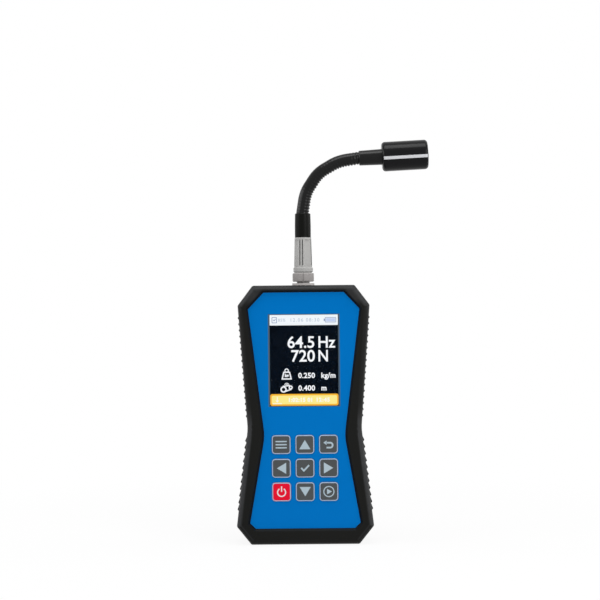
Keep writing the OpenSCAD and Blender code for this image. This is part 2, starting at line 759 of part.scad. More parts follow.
module main_board() {
    color("#1f6b3a") difference() {
        union() {
            box_slab(board_w, board_h, [0, board_z], board_y, board_y + board_t);
            box_slab(processor_w, processor_w, [0, processor_z],
                     board_y + board_t - fit, board_y + board_t + chip_t);
            for (s = [-1, 1])
                box_slab(memory_w, memory_h, [s * memory_x, processor_z + memory_rise],
                         board_y + board_t - fit, board_y + board_t + chip_t);
        }
        for (p = board_screw_points)
            post(p, board_screw_d + 4 * fit, board_y - over, board_y + board_t + over);
    }
}

module key_switches() {
    color("#3c3c3c") for (r = [0:2], c = [0:2]) {
        box_slab(switch_w, switch_w, key_at(r, c), switch_y + key_travel, board_y);
        post(key_at(r, c), plunger_d, switch_y, switch_y + 2 * key_travel);
    }
}

// a pan-head screw whose shank points forwards
module screw(at, d, head, head_h, y_head, y_tip) {
    post(at, d, y_tip, y_head + head_h / 2);
    difference() {
        post(at, head, y_head, y_head + head_h);
        for (a = [0, 90]) translate([at.x, y_head + head_h / 2, at.y]) rotate([0, a, 0])
            translate([-head * recess_l / 2, 0, -head * recess_w / 2])
                cube([head * recess_l, head_h, head * recess_w]);
    }
}

module board_screws() {
    color("#b8bcc0") for (p = board_screw_points)
        screw(p, board_screw_d, board_head_d, board_head_h, board_y + board_t, board_y - board_screw_grip);
}

module case_screws() {
    color("#55585c") for (p = case_screw_points)
        screw(p, case_screw_d, case_head_d, case_head_h, rear_y - case_head_h - 2 * fit,
              split_y - case_screw_grip);
}

// places something in each cell's slot with the cell's tip up, every second one turned over
module in_slots() {
    for (i = [0:cells - 1])
        translate([(i - (cells - 1) / 2) * cell_pitch, cell_y, door_mid_z])
            rotate([0, i % 2 == 0 ? 0 : 180, 0]) translate([0, 0, -bay_h / 2 + fit]) children();
}

module cells() {
    color("#7d8288") in_slots() translate([0, 0, plate_t + spring_l]) {
        cylinder(d = cell_d, h = cell_l);
        cylinder(d = tip_d, h = cell_l + tip_l);
    }
}

module cell_plates() {
    color("#c5c8cb") in_slots() for (z = [0, bay_h - 2 * fit - plate_t])
        translate([-plate_w / 2, -plate_w / 2, z]) cube([plate_w, plate_w, plate_t]);
}

// a coil that narrows towards the cell
module coil() {
    n = spring_turns * spring_steps;
    r = spring_wire / 2;
    rise = spring_l - spring_wire - 2 * fit;
    ring = [for (i = [0:n])
        let (t = i / n, a = 360 * spring_turns * t, big = (spring_d - spring_wire) / 2 * (1 - 0.35 * t))
        [for (k = [0:spring_sides - 1]) let (b = 360 * k / spring_sides, o = big + r * cos(b))
            [o * cos(a), o * sin(a), fit + r + rise * t + r * sin(b)]]];
    polyhedron(
        points = [for (q = ring, p = q) p],
        faces = concat(
            [[for (k = [0:spring_sides - 1]) k]],
            [[for (k = [spring_sides - 1:-1:0]) n * spring_sides + k]],
            [for (i = [0:n - 1], k = [0:spring_sides - 1])
                let (a = i * spring_sides, k1 = (k + 1) % spring_sides)
                [a + k1, a + k, a + spring_sides + k, a + spring_sides + k1]]));
}

module cell_springs() { color("#c5c8cb") in_slots() translate([0, 0, plate_t]) coil(); }

module battery_door() {
    color("#242527") difference() {
        door_plate(0, door_y, rear_y);
        for (p = door_screw_points) {
            post(p, door_screw_d + 2 * fit, door_y - over, rear_y + over);
            post(p, door_head_d + 2 * fit, rear_y - door_head_h - 2 * fit, rear_y + over);
        }
        for (i = [0:thumb_grooves - 1])
            translate([0, rear_y, door_mid_z + (i - (thumb_grooves - 1) / 2) * thumb_pitch])
                rotate([0, 90, 0]) cylinder(d = thumb_d, h = tab_w, center = true);
    }
}

module door_screws() {
    color("#b8bcc0") for (p = door_screw_points)
        screw(p, door_screw_d, door_head_d, door_head_h, rear_y - door_head_h - 2 * fit,
              door_y - door_screw_l);
}

module at_socket(z) { translate([0, socket_y, z]) children(); }

module socket() {
    color("#8b8788") at_socket(0) difference() {
        union() {
            translate([0, 0, case_top]) cylinder(d = flange_d, h = flange_top - case_top);
            translate([0, 0, case_top - barrel_l]) cylinder(d = barrel_d, h = barrel_l + over);
        }
        translate([0, 0, bore_floor_z]) cylinder(d = bore_d, h = flange_top - bore_floor_z + over);
    }
}

module socket_nut() {
    color("#9a9a98") at_socket(case_top - case_wall - nut_h) difference() {
        cylinder(d = nut_w / cos(30), h = nut_h, $fn = 6);
        translate([0, 0, -over]) cylinder(d = barrel_d + 2 * fit, h = nut_h + 2 * over);
    }
}

module pin_places(n) {
    for (i = [0:n - 1]) rotate(i * 360 / n) translate([pin_ring_r, 0, 0]) children();
}

module socket_pins() {
    color("#d8d2c0") at_socket(bore_floor_z) {
        cylinder(d = bore_d - 2 * fit, h = insulator_t);
        pin_places(pins) cylinder(d = pin_d, h = insulator_t + pin_l);
    }
}

module plug_shell() {
    lean_in = atan((grip_d0 - grip_d1) / 2 / grip_h);
    color("#b9b9b7") at_socket(0) rotate(plug_turn) difference() {
        rotate_extrude() polygon([
            [nose_d / 2 - nose_wall, nose_z], [nose_d / 2, nose_z], [nose_d / 2, collar_z],
            [spigot_d / 2, collar_z], [spigot_d / 2, groove_z], [groove_d / 2, groove_z],
            [groove_d / 2, ring_z], [ring_d / 2 - collar_bevel, ring_z],
            [ring_d / 2, ring_z + collar_bevel], [ring_d / 2, grip_z - collar_bevel],
            [ring_d / 2 - collar_bevel, grip_z],
            [grip_d0 / 2, grip_z], [grip_d1 / 2, sleeve_z], [tail_d / 2, sleeve_z],
            [tail_d / 2, sleeve_z + tail_l], [wire_d / 2, sleeve_z + tail_l],
            [wire_d / 2, grip_z], [nose_d / 2 - nose_wall, grip_z]]);
        for (i = [0:grip_flats - 1]) rotate(i * 360 / grip_flats) {
            rotate(-90 + 180 / grip_flats) translate([grip_d0 / 2, 0, grip_z]) rotate([0, -lean_in, 0])
                translate([-flat_depth, -grip_d0 / 2, flat_margin])
                    cube([over, grip_d0, grip_h - 2 * flat_margin]);
            for (s = [-1, 1]) rotate(-90 + s * slot_angle) translate([grip_d0 / 2, 0, grip_z])
                rotate([0, -lean_in, 0])
                    translate([-slot_depth, -slot_w / 2, flat_margin])
                        cube([over, slot_w, grip_h - 2 * flat_margin]);
        }
    }
}

module plug_collar() {
    color("#a39f9d") at_socket(0) rotate(plug_turn) difference() {
        rotate_extrude() polygon([
            [spigot_d / 2 + fit, collar_z], [collar_d / 2 - collar_bevel, collar_z],
            [collar_d / 2, collar_z + collar_bevel], [collar_d / 2, groove_z - collar_bevel],
            [collar_d / 2 - collar_bevel, groove_z], [spigot_d / 2 + fit, groove_z]]);
        for (i = [0:grip_flats - 1]) rotate(-90 - plug_turn + i * 360 / grip_flats)
            translate([collar_d / 2 - collar_mark, -slot_w / 2, collar_z - over])
                cube([over, slot_w, collar_h + 2 * over]);
    }
}

module plug_insulator() {
    pin_top = bore_floor_z + insulator_t + pin_l;
    color("#d8d2c0") at_socket(pin_top + fit) difference() {
        cylinder(d = nose_d - 2 * nose_wall - 2 * fit, h = grip_z - pin_top - 2 * fit);
        translate([0, 0, -over]) pin_places(pins) cylinder(d = pin_d + 2 * fit, h = 2 * over);
    }
}

module neck_sleeve() {
    color("#1c1d18") at_socket(0) difference() {
        rotate_extrude() polygon([
            [0, sleeve_z], [sleeve_d0 / 2, sleeve_z], [sleeve_d0 / 2, sleeve_z + sleeve_h / 2],
            [sleeve_d1 / 2, sleeve_top - collar_bevel], [sleeve_d1 / 2 - collar_bevel, sleeve_top],
            [0, sleeve_top]]);
        translate([0, 0, sleeve_z - over]) cylinder(d = tail_d + 2 * fit, h = tail_l + fit + over);
        translate([0, 0, sleeve_z]) cylinder(d = wire_d, h = sleeve_h + over);
        translate([0, 0, sleeve_top + joint_gap]) sphere(d = ball_d + 2 * ball_gap);
    }
}

// places something at joint j, with +Z along the link that starts there
module at_joint(j) { translate(joint_at(j)) rotate([0, lean(j), 0]) children(); }

function ridge(z) = [
    [root_d / 2, z], [ridge_d / 2 - ridge_bevel, z], [ridge_d / 2, z + ridge_bevel],
    [ridge_d / 2, z + ridge_w - ridge_bevel], [ridge_d / 2 - ridge_bevel, z + ridge_w],
    [root_d / 2, z + ridge_w]];

module neck_link(i) {
    color("#232323") at_joint(i) difference() {
        union() {
            rotate_extrude() polygon(concat(
                [[0, 0], [root_d / 2, 0]], ridge(joint_gap), ridge(link_len - joint_gap - ridge_w),
                [[0, link_len - joint_gap]]));
            sphere(d = ball_d);
        }
        translate([0, 0, link_len]) sphere(d = ball_d + 2 * ball_gap);
        translate([0, 0, -ball_d]) cylinder(d = wire_d, h = ball_d + link_len);
    }
}

// places something on the head's axis, at the head's back face
module at_head() { at_joint(links + 1) translate([0, 0, joint_gap + ferrule_l]) children(); }

module head_ferrule() {
    color("#1c1d1c") at_joint(links + 1) difference() {
        union() {
            rotate_extrude() polygon([
                [0, 0], [root_d / 2, 0], [root_d / 2, joint_gap],
                [ferrule_d0 / 2 - collar_bevel, joint_gap], [ferrule_d0 / 2, joint_gap + collar_bevel],
                [ferrule_d1 / 2, joint_gap + ferrule_l],
                [ferrule_spigot_d / 2, joint_gap + ferrule_l],
                [ferrule_spigot_d / 2, joint_gap + ferrule_l + head_back],
                [0, joint_gap + ferrule_l + head_back]]);
            sphere(d = ball_d);
        }
        translate([0, 0, -ball_d]) cylinder(d = wire_d, h = ball_d + ferrule_l + head_back + 2 * over);
    }
}

// the head's outside: a round bar with rounded edges
module head_outside() {
    rotate_extrude($fn = 3 * $fn) union() {
        square([head_d / 2 - head_r, head_l]);
        translate([0, head_r]) square([head_d / 2, head_l - 2 * head_r]);
        for (z = [head_r, head_l - head_r]) translate([head_d / 2 - head_r, z]) circle(r = head_r);
    }
}

// the part of the head's skin that the stripe fills
module stripe_zone(play) {
    rotate(stripe_turn) translate([-stripe_w / 2 - play, -head_d / 2 - over, stripe_start - play])
        cube([stripe_w + 2 * play, over + stripe_t + play, head_l + over]);
}

seat_z = head_l - lens_inset - lens_ring_t - lens_t;

module head_housing() {
    color("#1b1b1d") at_head() difference() {
        head_outside();
        translate([0, 0, -over]) cylinder(d = ferrule_spigot_d + 2 * fit, h = head_back + 2 * over);
        translate([0, 0, head_back]) cylinder(d = head_bore, h = head_l);
        translate([0, 0, seat_z]) cylinder(d = seat_d, h = head_l);
        stripe_zone(fit / 4);
    }
}

module head_stripe() {
    color("#e6e6e4") at_head() intersection() {
        head_outside();
        stripe_zone(0);
    }
}

module head_window() {
    color("#3a0f12", 0.8) at_head() translate([0, 0, seat_z]) cylinder(d = seat_d - 2 * fit, h = lens_t);
}

module window_ring() {
    color("#1b1b1d") at_head() translate([0, 0, seat_z + lens_t]) difference() {
        cylinder(d = seat_d - fit, h = lens_ring_t);
        translate([0, 0, -over]) cylinder(d = seat_d - 2 * lens_ring_w, h = lens_ring_t + 2 * over);
    }
}

sensor_board_z = seat_z - sensor_board_set;

module sensor_board() {
    color("#1f6b3a") at_head() translate([0, 0, sensor_board_z])
        cylinder(d = head_bore - 2 * fit, h = sensor_board_t);
}

module diode(x) {
    at_head() translate([x, 0, sensor_board_z + sensor_board_t]) {
        cylinder(d = diode_d, h = diode_l);
        translate([0, 0, diode_l]) intersection() {
            sphere(d = diode_d - fit);
            cylinder(d = diode_d, h = diode_d);
        }
    }
}

module emitter() { color("#b03038") diode(0); }

module receivers() { color("#202028") for (s = [-1, 1]) diode(s * diode_pitch); }

// the face's edges are sloped, the flange stays behind the overlay and the plunger meets its switch
module key(r, c) {
    at = key_at(r, c);
    top = overlay_front_y - key_proud;
    edge = key_proud / 2;
    color(key_rows[r][c] == "power" ? "#e61432" : "#4f555a") {
        loft([top, top + edge], [for (d = [edge, 0]) moved_box(key_size - 2 * d, key_r - d / 2, at)]);
        slab(box_ring(key_size, key_size, key_r, at), top + edge, flange_y + key_flange_t);
        slab(box_ring(key_size + 2 * key_flange, key_size + 2 * key_flange, key_r, at),
             flange_y, flange_y + key_flange_t);
        post(at, plunger_d, flange_y, plunger_y);
    }
}

// a square outline round a point, from its lower right corner on
function moved_box(w, r, at) =
    let (q = softened([[w / 2, -w / 2], [w / 2, w / 2], [-w / 2, w / 2], [-w / 2, -w / 2]], [r, r, r, r]))
    [for (p = q) at + p];

rubber_boot();
front_shell();
rear_shell();
case_seal();
front_overlay();
display_window();
display_module();
main_board();
key_switches();
board_screws();
case_screws();
cells();
cell_plates();
cell_springs();
battery_door();
door_screws();
socket();
socket_nut();
socket_pins();
for (r = [0:2], c = [0:2]) key(r, c);
plug_shell();
plug_collar();
plug_insulator();
neck_sleeve();
for (i = [1:links]) neck_link(i);
head_ferrule();
head_housing();
head_stripe();
head_window();
window_ring();
sensor_board();
emitter();
receivers();
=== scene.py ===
import json
import math

import bmesh
import bpy
from bpy.props import FloatProperty, FloatVectorProperty, PointerProperty, StringProperty
from bpy.types import Operator, Panel, PropertyGroup
from mathutils import Matrix, Vector


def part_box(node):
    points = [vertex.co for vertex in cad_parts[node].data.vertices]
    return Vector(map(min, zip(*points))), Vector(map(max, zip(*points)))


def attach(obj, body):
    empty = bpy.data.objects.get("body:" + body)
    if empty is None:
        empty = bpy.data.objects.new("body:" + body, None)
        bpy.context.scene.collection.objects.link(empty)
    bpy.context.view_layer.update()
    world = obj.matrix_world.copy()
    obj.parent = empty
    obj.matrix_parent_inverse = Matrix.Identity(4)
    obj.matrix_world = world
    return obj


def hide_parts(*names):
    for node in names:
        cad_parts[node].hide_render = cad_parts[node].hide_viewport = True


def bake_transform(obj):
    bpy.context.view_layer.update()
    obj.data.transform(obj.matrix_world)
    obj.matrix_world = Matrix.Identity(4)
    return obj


bl_info = {
    "name": "Belt tension tester",
    "version": (1, 0, 0),
    "blender": (4, 5, 0),
    "location": "3D View > Sidebar > Tester",
    "description": "Dresses the solids of a handheld belt tension tester",
    "category": "Object",
}

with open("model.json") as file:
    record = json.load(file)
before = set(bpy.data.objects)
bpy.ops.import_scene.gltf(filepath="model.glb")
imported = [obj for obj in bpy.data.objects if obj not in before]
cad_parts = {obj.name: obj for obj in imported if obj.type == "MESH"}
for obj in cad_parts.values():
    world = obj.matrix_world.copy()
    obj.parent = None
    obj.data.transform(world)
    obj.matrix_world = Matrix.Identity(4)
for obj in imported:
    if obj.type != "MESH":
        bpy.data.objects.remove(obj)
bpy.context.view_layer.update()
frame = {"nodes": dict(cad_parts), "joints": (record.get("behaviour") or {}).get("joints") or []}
MM = 0.001
MERGE = 1e-7  # points closer than this are one point
PRINT = 0.02  # thickness of a printed sign or line, in millimetres
KEYS = ("menu", "up", "back", "left", "ok", "right", "power", "down", "start")
KEY_FACE, KEY_CORNER = 13.8, 2.2  # flat front of a key and its corner radius, in millimetres


# Shader maths


class Value:
    """A socket in a finish, with Python's operators for its Math nodes."""

    def __init__(self, finish, socket):
        self.finish = finish
        self.socket = socket

    def _math(self, operation, a, b):
        return self.finish.node("ShaderNodeMath", {"operation": operation}, {0: a, 1: b})

    def __add__(self, other):
        return self._math("ADD", self, other)

    def __radd__(self, other):
        return self._math("ADD", other, self)

    def __sub__(self, other):
        return self._math("SUBTRACT", self, other)

    def __rsub__(self, other):
        return self._math("SUBTRACT", other, self)

    def __mul__(self, other):
        return self._math("MULTIPLY", self, other)

    def __rmul__(self, other):
        return self._math("MULTIPLY", other, self)

    def __gt__(self, other):
        return self._math("GREATER_THAN", self, other)


class Finish:
    """The nodes of a material or of the world. node() is the one way in which they are made."""

    def __init__(self, owner):
        self.owner = owner
        owner.use_nodes = True
        self.tree = owner.node_tree
        self.tree.nodes.clear()

    def node(self, kind, settings=None, inputs=None, out=0):
        made = self.tree.nodes.new(kind)
        for key, value in (settings or {}).items():
            setattr(made, key, value)
        for key, value in (inputs or {}).items():
            if isinstance(value, Value):
                self.tree.links.new(value.socket, made.inputs[key])
            else:
                made.inputs[key].default_value = value
        return Value(self, made.outputs[out]) if made.outputs else None

    def place(self):
        return self.node("ShaderNodeTexCoord", out="Object")

    def noise(self, scale, detail=2.0, rough=0.5):
        sockets = {"Vector": self.place(), "Scale": scale, "Detail": detail, "Roughness": rough}
        return self.node("ShaderNodeTexNoise", None, sockets, out="Fac")

    def mix(self, factor, a, b):
        return self.node("ShaderNodeMix", {"data_type": "RGBA"}, {0: factor, 6: a, 7: b}, out=2)

    def ramp(self, value, start, end, low=0.0, high=1.0):
        """Goes smoothly from low at start to high at end."""
        sockets = {"Value": value, "From Min": start, "From Max": end, "To Min": low, "To Max": high}
        return self.node("ShaderNodeMapRange", {"interpolation_type": "SMOOTHSTEP"}, sockets)

    def vector(self, operation, *inputs, out=0):
        settings = {"operation": operation}
        return self.node("ShaderNodeVectorMath", settings, dict(enumerate(inputs)), out)

    def axis(self, vector, name):
        return self.node("ShaderNodeSeparateXYZ", None, {0: vector}, out=name)

    def bump(self, height, strength, depth):
        sockets = {"Height": height, "Strength": strength, "Distance": depth}
        return self.node("ShaderNodeBump", None, sockets)

    def surface(self, **sockets):
        """Ends a material with a Principled shader; base_color stands for Base Color and so on."""
        names = {}
        for key, value in sockets.items():
            names[key.replace("_", " ").title().replace("Ior", "IOR")] = value
        shader = self.node("ShaderNodeBsdfPrincipled", None, names)
        self.node("ShaderNodeOutputMaterial", None, {"Surface": shader})
        return self.owner


def shade(colour, factor):
    return (colour[0] * factor, colour[1] * factor, colour[2] * factor, 1.0)


def swing(noise, by):
    """A noise between nought and one as a change to both sides of nought."""
    return (noise - 0.5) * by


def kept(name, make):
    """A finish is made once and shared by the pieces that have it."""
    name = f"finish_{name}"
    return bpy.data.materials.get(name) or make(Finish(bpy.data.materials.new(name)))


def moulded(name, colour, rough, grain, depth, gloss=0.5, mottle=0.1):
    """Moulded rubber or plastic: a fine grain, a cloudy tint and an uneven sheen."""
    def make(f):
        cloud = f.noise(scale=55.0, detail=4.0)
        fine = f.noise(scale=grain, detail=3.0, rough=0.6)
        return f.surface(
            base_color=f.mix(cloud, shade(colour, 1 - mottle), shade(colour, 1 + mottle)),
            roughness=rough + swing(cloud, 0.16) + swing(fine, 0.1),
            specular_ior_level=gloss,
            normal=f.bump(fine, strength=0.35, depth=depth))
    return kept(name, make)


def film(name, colour, rough, gloss=0.02):
    """Printed film: even colour, a faint orange-peel surface and soft handling marks."""
    def make(f):
        peel = f.noise(scale=1500.0, detail=2.0)
        marks = f.noise(scale=38.0, detail=5.0, rough=0.62)
        return f.surface(
            base_color=f.mix(marks, shade(colour, 0.965), shade(colour, 1.035)),
            roughness=rough + swing(marks, 0.18),
            specular_ior_level=gloss,
            normal=f.bump(peel, strength=0.12, depth=0.00003))
    return kept(name, make)


def metal(name, colour, rough):
    """Plated metal with fine turned marks."""
    def make(f):
        scratch = f.noise(scale=2600.0, detail=5.0, rough=0.7)
        cloud = f.noise(scale=140.0, detail=3.0)
        return f.surface(
            base_color=f.mix(cloud, shade(colour, 0.85), shade(colour, 1.08)),
            metallic=1.0,
            roughness=rough + swing(scratch, 0.25),
            normal=f.bump(scratch, strength=0.2, depth=0.00002))
    return kept(name, make)


def lit(name, colour, strength=1.0):
    """A lit part of the display: fine pixel lines over an even glow."""
    def make(f):
        waves = {"Vector": f.place(), "Scale": 1100.0, "Distortion": 0.0}
        rows = f.node("ShaderNodeTexWave", {"bands_direction": "Z"}, waves, out="Fac")
        glow = f.mix(rows, shade(colour, 0.94), shade(colour, 1.0))
        return f.surface(base_color=shade(colour, 0.05), roughness=0.4, specular_ior_level=0.05,
                         emission_color=glow, emission_strength=strength)
    return kept(name, make)


# Mesh helpers


def copied(node):
    """A merged copy of a solid's mesh, with its flat faces whole again."""
    near, thin, flat = 2e-6, 1e-6, math.radians(0.4)
    bm = bmesh.new()
    bm.from_mesh(frame["nodes"][node].data)
    bmesh.ops.remove_doubles(bm, verts=bm.verts, dist=near)
    bmesh.ops.dissolve_degenerate(bm, dist=thin, edges=bm.edges)
    bmesh.ops.dissolve_limit(bm, angle_limit=flat, verts=bm.verts, edges=bm.edges)
    return bm


def turned_round(line, steps):
    """Turns a line of points round the Z axis into a skin without a seam."""
    bm = bmesh.new()
    verts = [bm.verts.new(point) for point in line]
    edges = [bm.edges.new(pair) for pair in zip(verts, verts[1:])]
    bmesh.ops.spin(bm, geom=verts + edges, cent=(0, 0, 0), axis=(0, 0, 1), angle=math.tau,
                   steps=steps, use_merge=True)
    bmesh.ops.remove_doubles(bm, verts=bm.verts, dist=MERGE)
    return bm


def soften(bm, width, angle):
    """Rounds the edges of a closed shape that are sharper than an angle in degrees."""
    sharp = math.radians(angle)
    edges = [e for e in bm.edges if e.is_manifold and e.calc_face_angle(0.0) > sharp]
    bmesh.ops.bevel(bm, geom=edges, offset=width, offset_type="OFFSET", segments=2, profile=0.5,
                    affect="EDGES", clamp_overlap=True, material=-1)
    return bm


def joined(*parts):
    """Several shapes as one mesh."""
    bm = bmesh.new()
    for part in parts:
        mesh = bpy.data.meshes.new("part")
        part.to_mesh(mesh)
        part.free()
        bm.from_mesh(mesh)
        bpy.data.meshes.remove(mesh)
    return bm


def piece(name, bm, *finishes, sharp=30.0):
    """An object with smooth faces, and sharp edges where faces meet at more than an angle."""
    for face in bm.faces:
        face.smooth = True
    for edge in bm.edges:
        bent = edge.is_manifold and edge.calc_face_angle(0.0) > math.radians(sharp)
        edge.smooth = not bent
    mesh = bpy.data.meshes.new(name)
    bm.to_mesh(mesh)
    bm.free()
    # A solid's own normals don't fit its merged copy
    old = mesh.attributes.get("custom_normal")
    if old is not None:
        mesh.attributes.remove(old)
    for finish in finishes:
        mesh.materials.append(finish)
    obj = bpy.data.objects.new(name, mesh)
    bpy.context.scene.collection.objects.link(obj)
    return obj


def stand_in(name, node, body, slot, *finishes, bm=None, sharp=30.0, even=True):
    """A piece with a solid's shape, or with an edited copy of it, that stands for the solid."""
    obj = piece(name, copied(node) if bm is None else bm, *finishes, sharp=sharp)
    if even:
        # Shaded by its large faces, so that flats stay flat beside small curves
        modifier = obj.modifiers.new("even_normals", "WEIGHTED_NORMAL")
        modifier.keep_sharp = True
        modifier.weight = 80
    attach(obj, body)
    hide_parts(node)


def painted(node, finish):
    """A solid that stays in view gets its finish."""
    data = frame["nodes"][node].data
    data.materials.clear()
    data.materials.append(finish)


def box_points(w, h):
    return [(-w / 2, -h / 2), (w / 2, -h / 2), (w / 2, h / 2), (-w / 2, h / 2)]


def plate(points, at=(0.0, 0.0), round_by=0.0):
    """A flat shape from points (x, z) in millimetres; thickened later with raised()."""
    bm = bmesh.new()
    verts = [bm.verts.new(((at[0] + x) * MM, 0.0, (at[1] + z) * MM)) for x, z in points]
    bm.faces.new(verts)
    if round_by:
        bmesh.ops.bevel(bm, geom=verts, offset=round_by * MM, offset_type="OFFSET", segments=6,
                        profile=0.5, affect="VERTICES", clamp_overlap=True, material=-1)
    return bm


def frame_plate(points, line, at=(0.0, 0.0), round_by=0.0):
    """A flat frame inside an outline, with a line as wide as asked."""
    bm = plate(points, at, round_by)
    bm.normal_update()
    face = max(bm.faces, key=lambda f: f.calc_area())
    bmesh.ops.inset_region(bm, faces=[face], thickness=line * MM, use_even_offset=True,
                           use_boundary=True)
    bmesh.ops.delete(bm, geom=[face], context="FACES_ONLY")
    return bm


def arc_plate(radius, line, start, sweep, at=(0.0, 0.0)):
    """A flat band along an arc, in degrees anticlockwise from the right, seen from the front."""
    bm = bmesh.new()
    c, s = math.cos(math.radians(start)), math.sin(math.radians(start))
    ends = [bm.verts.new(((at[0] + r * c) * MM, 0.0, (at[1] + r * s) * MM))
            for r in (radius - line / 2, radius + line / 2)]
    edge = bm.edges.new(ends)
    bmesh.ops.spin(bm, geom=ends + [edge], cent=(at[0] * MM, 0.0, at[1] * MM), axis=(0, -1, 0),
                   angle=math.radians(sweep), steps=28, use_merge=sweep == 360)
    bmesh.ops.remove_doubles(bm, verts=bm.verts, dist=MERGE)
    return bm


def lettering(text, height, at, align="LEFT", bold=0.0, spaced=1.0, narrow=1.0):
    """Figures or a unit sign as a flat shape; at is the aligned end or middle of the foot line."""
    capital = 0.7  # height of a capital as a part of the font's size
    curve = bpy.data.curves.new("figures", "FONT")
    curve.body = text
    curve.size = height / capital * MM
    curve.align_x = align
    curve.offset = bold * MM
    curve.space_character = spaced
    curve.resolution_u = 4
    obj = bpy.data.objects.new("figures", curve)
    bpy.context.scene.collection.objects.link(obj)
    bpy.context.view_layer.update()
    depsgraph = bpy.context.evaluated_depsgraph_get()
    mesh = bpy.data.meshes.new_from_object(obj.evaluated_get(depsgraph))
    bm = bmesh.new()
    bm.from_mesh(mesh)
    bpy.data.objects.remove(obj)
    bpy.data.curves.remove(curve)
    bpy.data.meshes.remove(mesh)
    upright = Matrix.Rotation(math.pi / 2, 3, "X")
    bmesh.ops.scale(bm, verts=bm.verts, vec=(narrow, 1, 1))
    bmesh.ops.rotate(bm, verts=bm.verts, cent=(0, 0, 0), matrix=upright)
    bmesh.ops.translate(bm, verts=bm.verts, vec=(at[0] * MM, 0, at[1] * MM))
    return bm


def raised(parts, front, back):
    """Thickens flat shapes into one print between two depths, in millimetres."""
    bm = joined(*parts)
    bmesh.ops.remove_doubles(bm, verts=bm.verts, dist=MERGE)
    for face in bm.faces:
        face.normal_update()
        if face.normal.y > 0:
            face.normal_flip()
    made = bmesh.ops.extrude_face_region(bm, geom=list(bm.faces), use_keep_orig=True)
    moved = {v for v in made["geom"] if isinstance(v, bmesh.types.BMVert)}
    for vert in bm.verts:
        vert.co.y = (front if vert in moved else back) * MM
    bmesh.ops.recalc_face_normals(bm, faces=bm.faces)
    return bm


# Settings


class BootSettings(PropertyGroup):
    """The rubber boot and the case inside it"""
    rubber: FloatVectorProperty(
        name="Rubber", description="Colour of the boot",
        subtype="COLOR", size=3, default=(0.0062, 0.0064, 0.0056), min=0, max=1)
    # Paler rubber on the rounded edges and top corners: a painted sheen of the light from above,
    # mixed with wear
    scuffed_and_lit: FloatVectorProperty(
        name="Scuffed rubber", description="Colour of the boot's worn edges",
        subtype="COLOR", size=3, default=(0.038, 0.039, 0.041), min=0, max=1)
    rubber_rough: FloatProperty(
        name="Rubber roughness", description="How matt the boot is",
        subtype="FACTOR", default=0.4, min=0, max=1)
    plastic: FloatVectorProperty(
        name="Case", description="Colour of the case's plastic",
        subtype="COLOR", size=3, default=(0.008, 0.008, 0.009), min=0, max=1)


class PanelSettings(PropertyGroup):
    """The front overlay and the keys"""
    film: FloatVectorProperty(
        name="Film", description="Colour of the overlay",
        subtype="COLOR", size=3, default=(0.0, 0.162, 0.515), min=0, max=1)
    key: FloatVectorProperty(
        name="Keys", description="Colour of the keys",
        subtype="COLOR", size=3, default=(0.081, 0.087, 0.089), min=0, max=1)
    power_key: FloatVectorProperty(
        name="Power key", description="Colour of the power key",
        subtype="COLOR", size=3, default=(0.77, 0.008, 0.032), min=0, max=1)
    sign: FloatVectorProperty(
        name="Signs", description="Colour of the signs on the keys",
        subtype="COLOR", size=3, default=(0.42, 0.52, 0.58), min=0, max=1)
    power_sign: FloatVectorProperty(
        name="Power sign", description="Colour of the sign on the power key",
        subtype="COLOR", size=3, default=(0.78, 0.7, 0.72), min=0, max=1)
    line_tint: FloatVectorProperty(
        name="Key lines", description="Colour of the printed line round each key",
        subtype="COLOR", size=3, default=(0.39, 0.48, 0.64), min=0, max=1)
    line: FloatProperty(
        name="Key line", description="Width of a key's printed line on its flat front",
        unit="LENGTH", default=0.00042, min=0.0001, max=0.001)


class DisplaySettings(PropertyGroup):
    """What the display shows"""
    first: StringProperty(
        name="First line", description="Large figures in the first line", default="64.5")
    second: StringProperty(
        name="Second line", description="Large figures in the second line", default="720")
    third: StringProperty(
        name="Third line", description="Small figures beside the weight", default="0.250")
    fourth: StringProperty(
        name="Fourth line", description="Small figures beside the belt", default="0.400")
    figure_height: FloatProperty(
        name="Figure height", description="Height of the large figures",
        unit="LENGTH", default=0.0088, min=0.004, max=0.012)
    small_height: FloatProperty(
        name="Small figure height", description="Height of the figures in the lower lines",
        unit="LENGTH", default=0.0039, min=0.002, max=0.006)
    bar: FloatVectorProperty(
        name="Status bar", description="Colour of the bar at the top",
        subtype="COLOR", size=3, default=(0.9, 0.95, 0.99), min=0, max=1)
    amber: FloatVectorProperty(
        name="Amber edge", description="Colour of the edge of the bar at the bottom",
        subtype="COLOR", size=3, default=(0.95, 0.46, 0.03), min=0, max=1)
    amber_middle: FloatVectorProperty(
        name="Amber middle", description="Colour of the middle of the bar at the bottom",
        subtype="COLOR", size=3, default=(1.0, 0.85, 0.27), min=0, max=1)


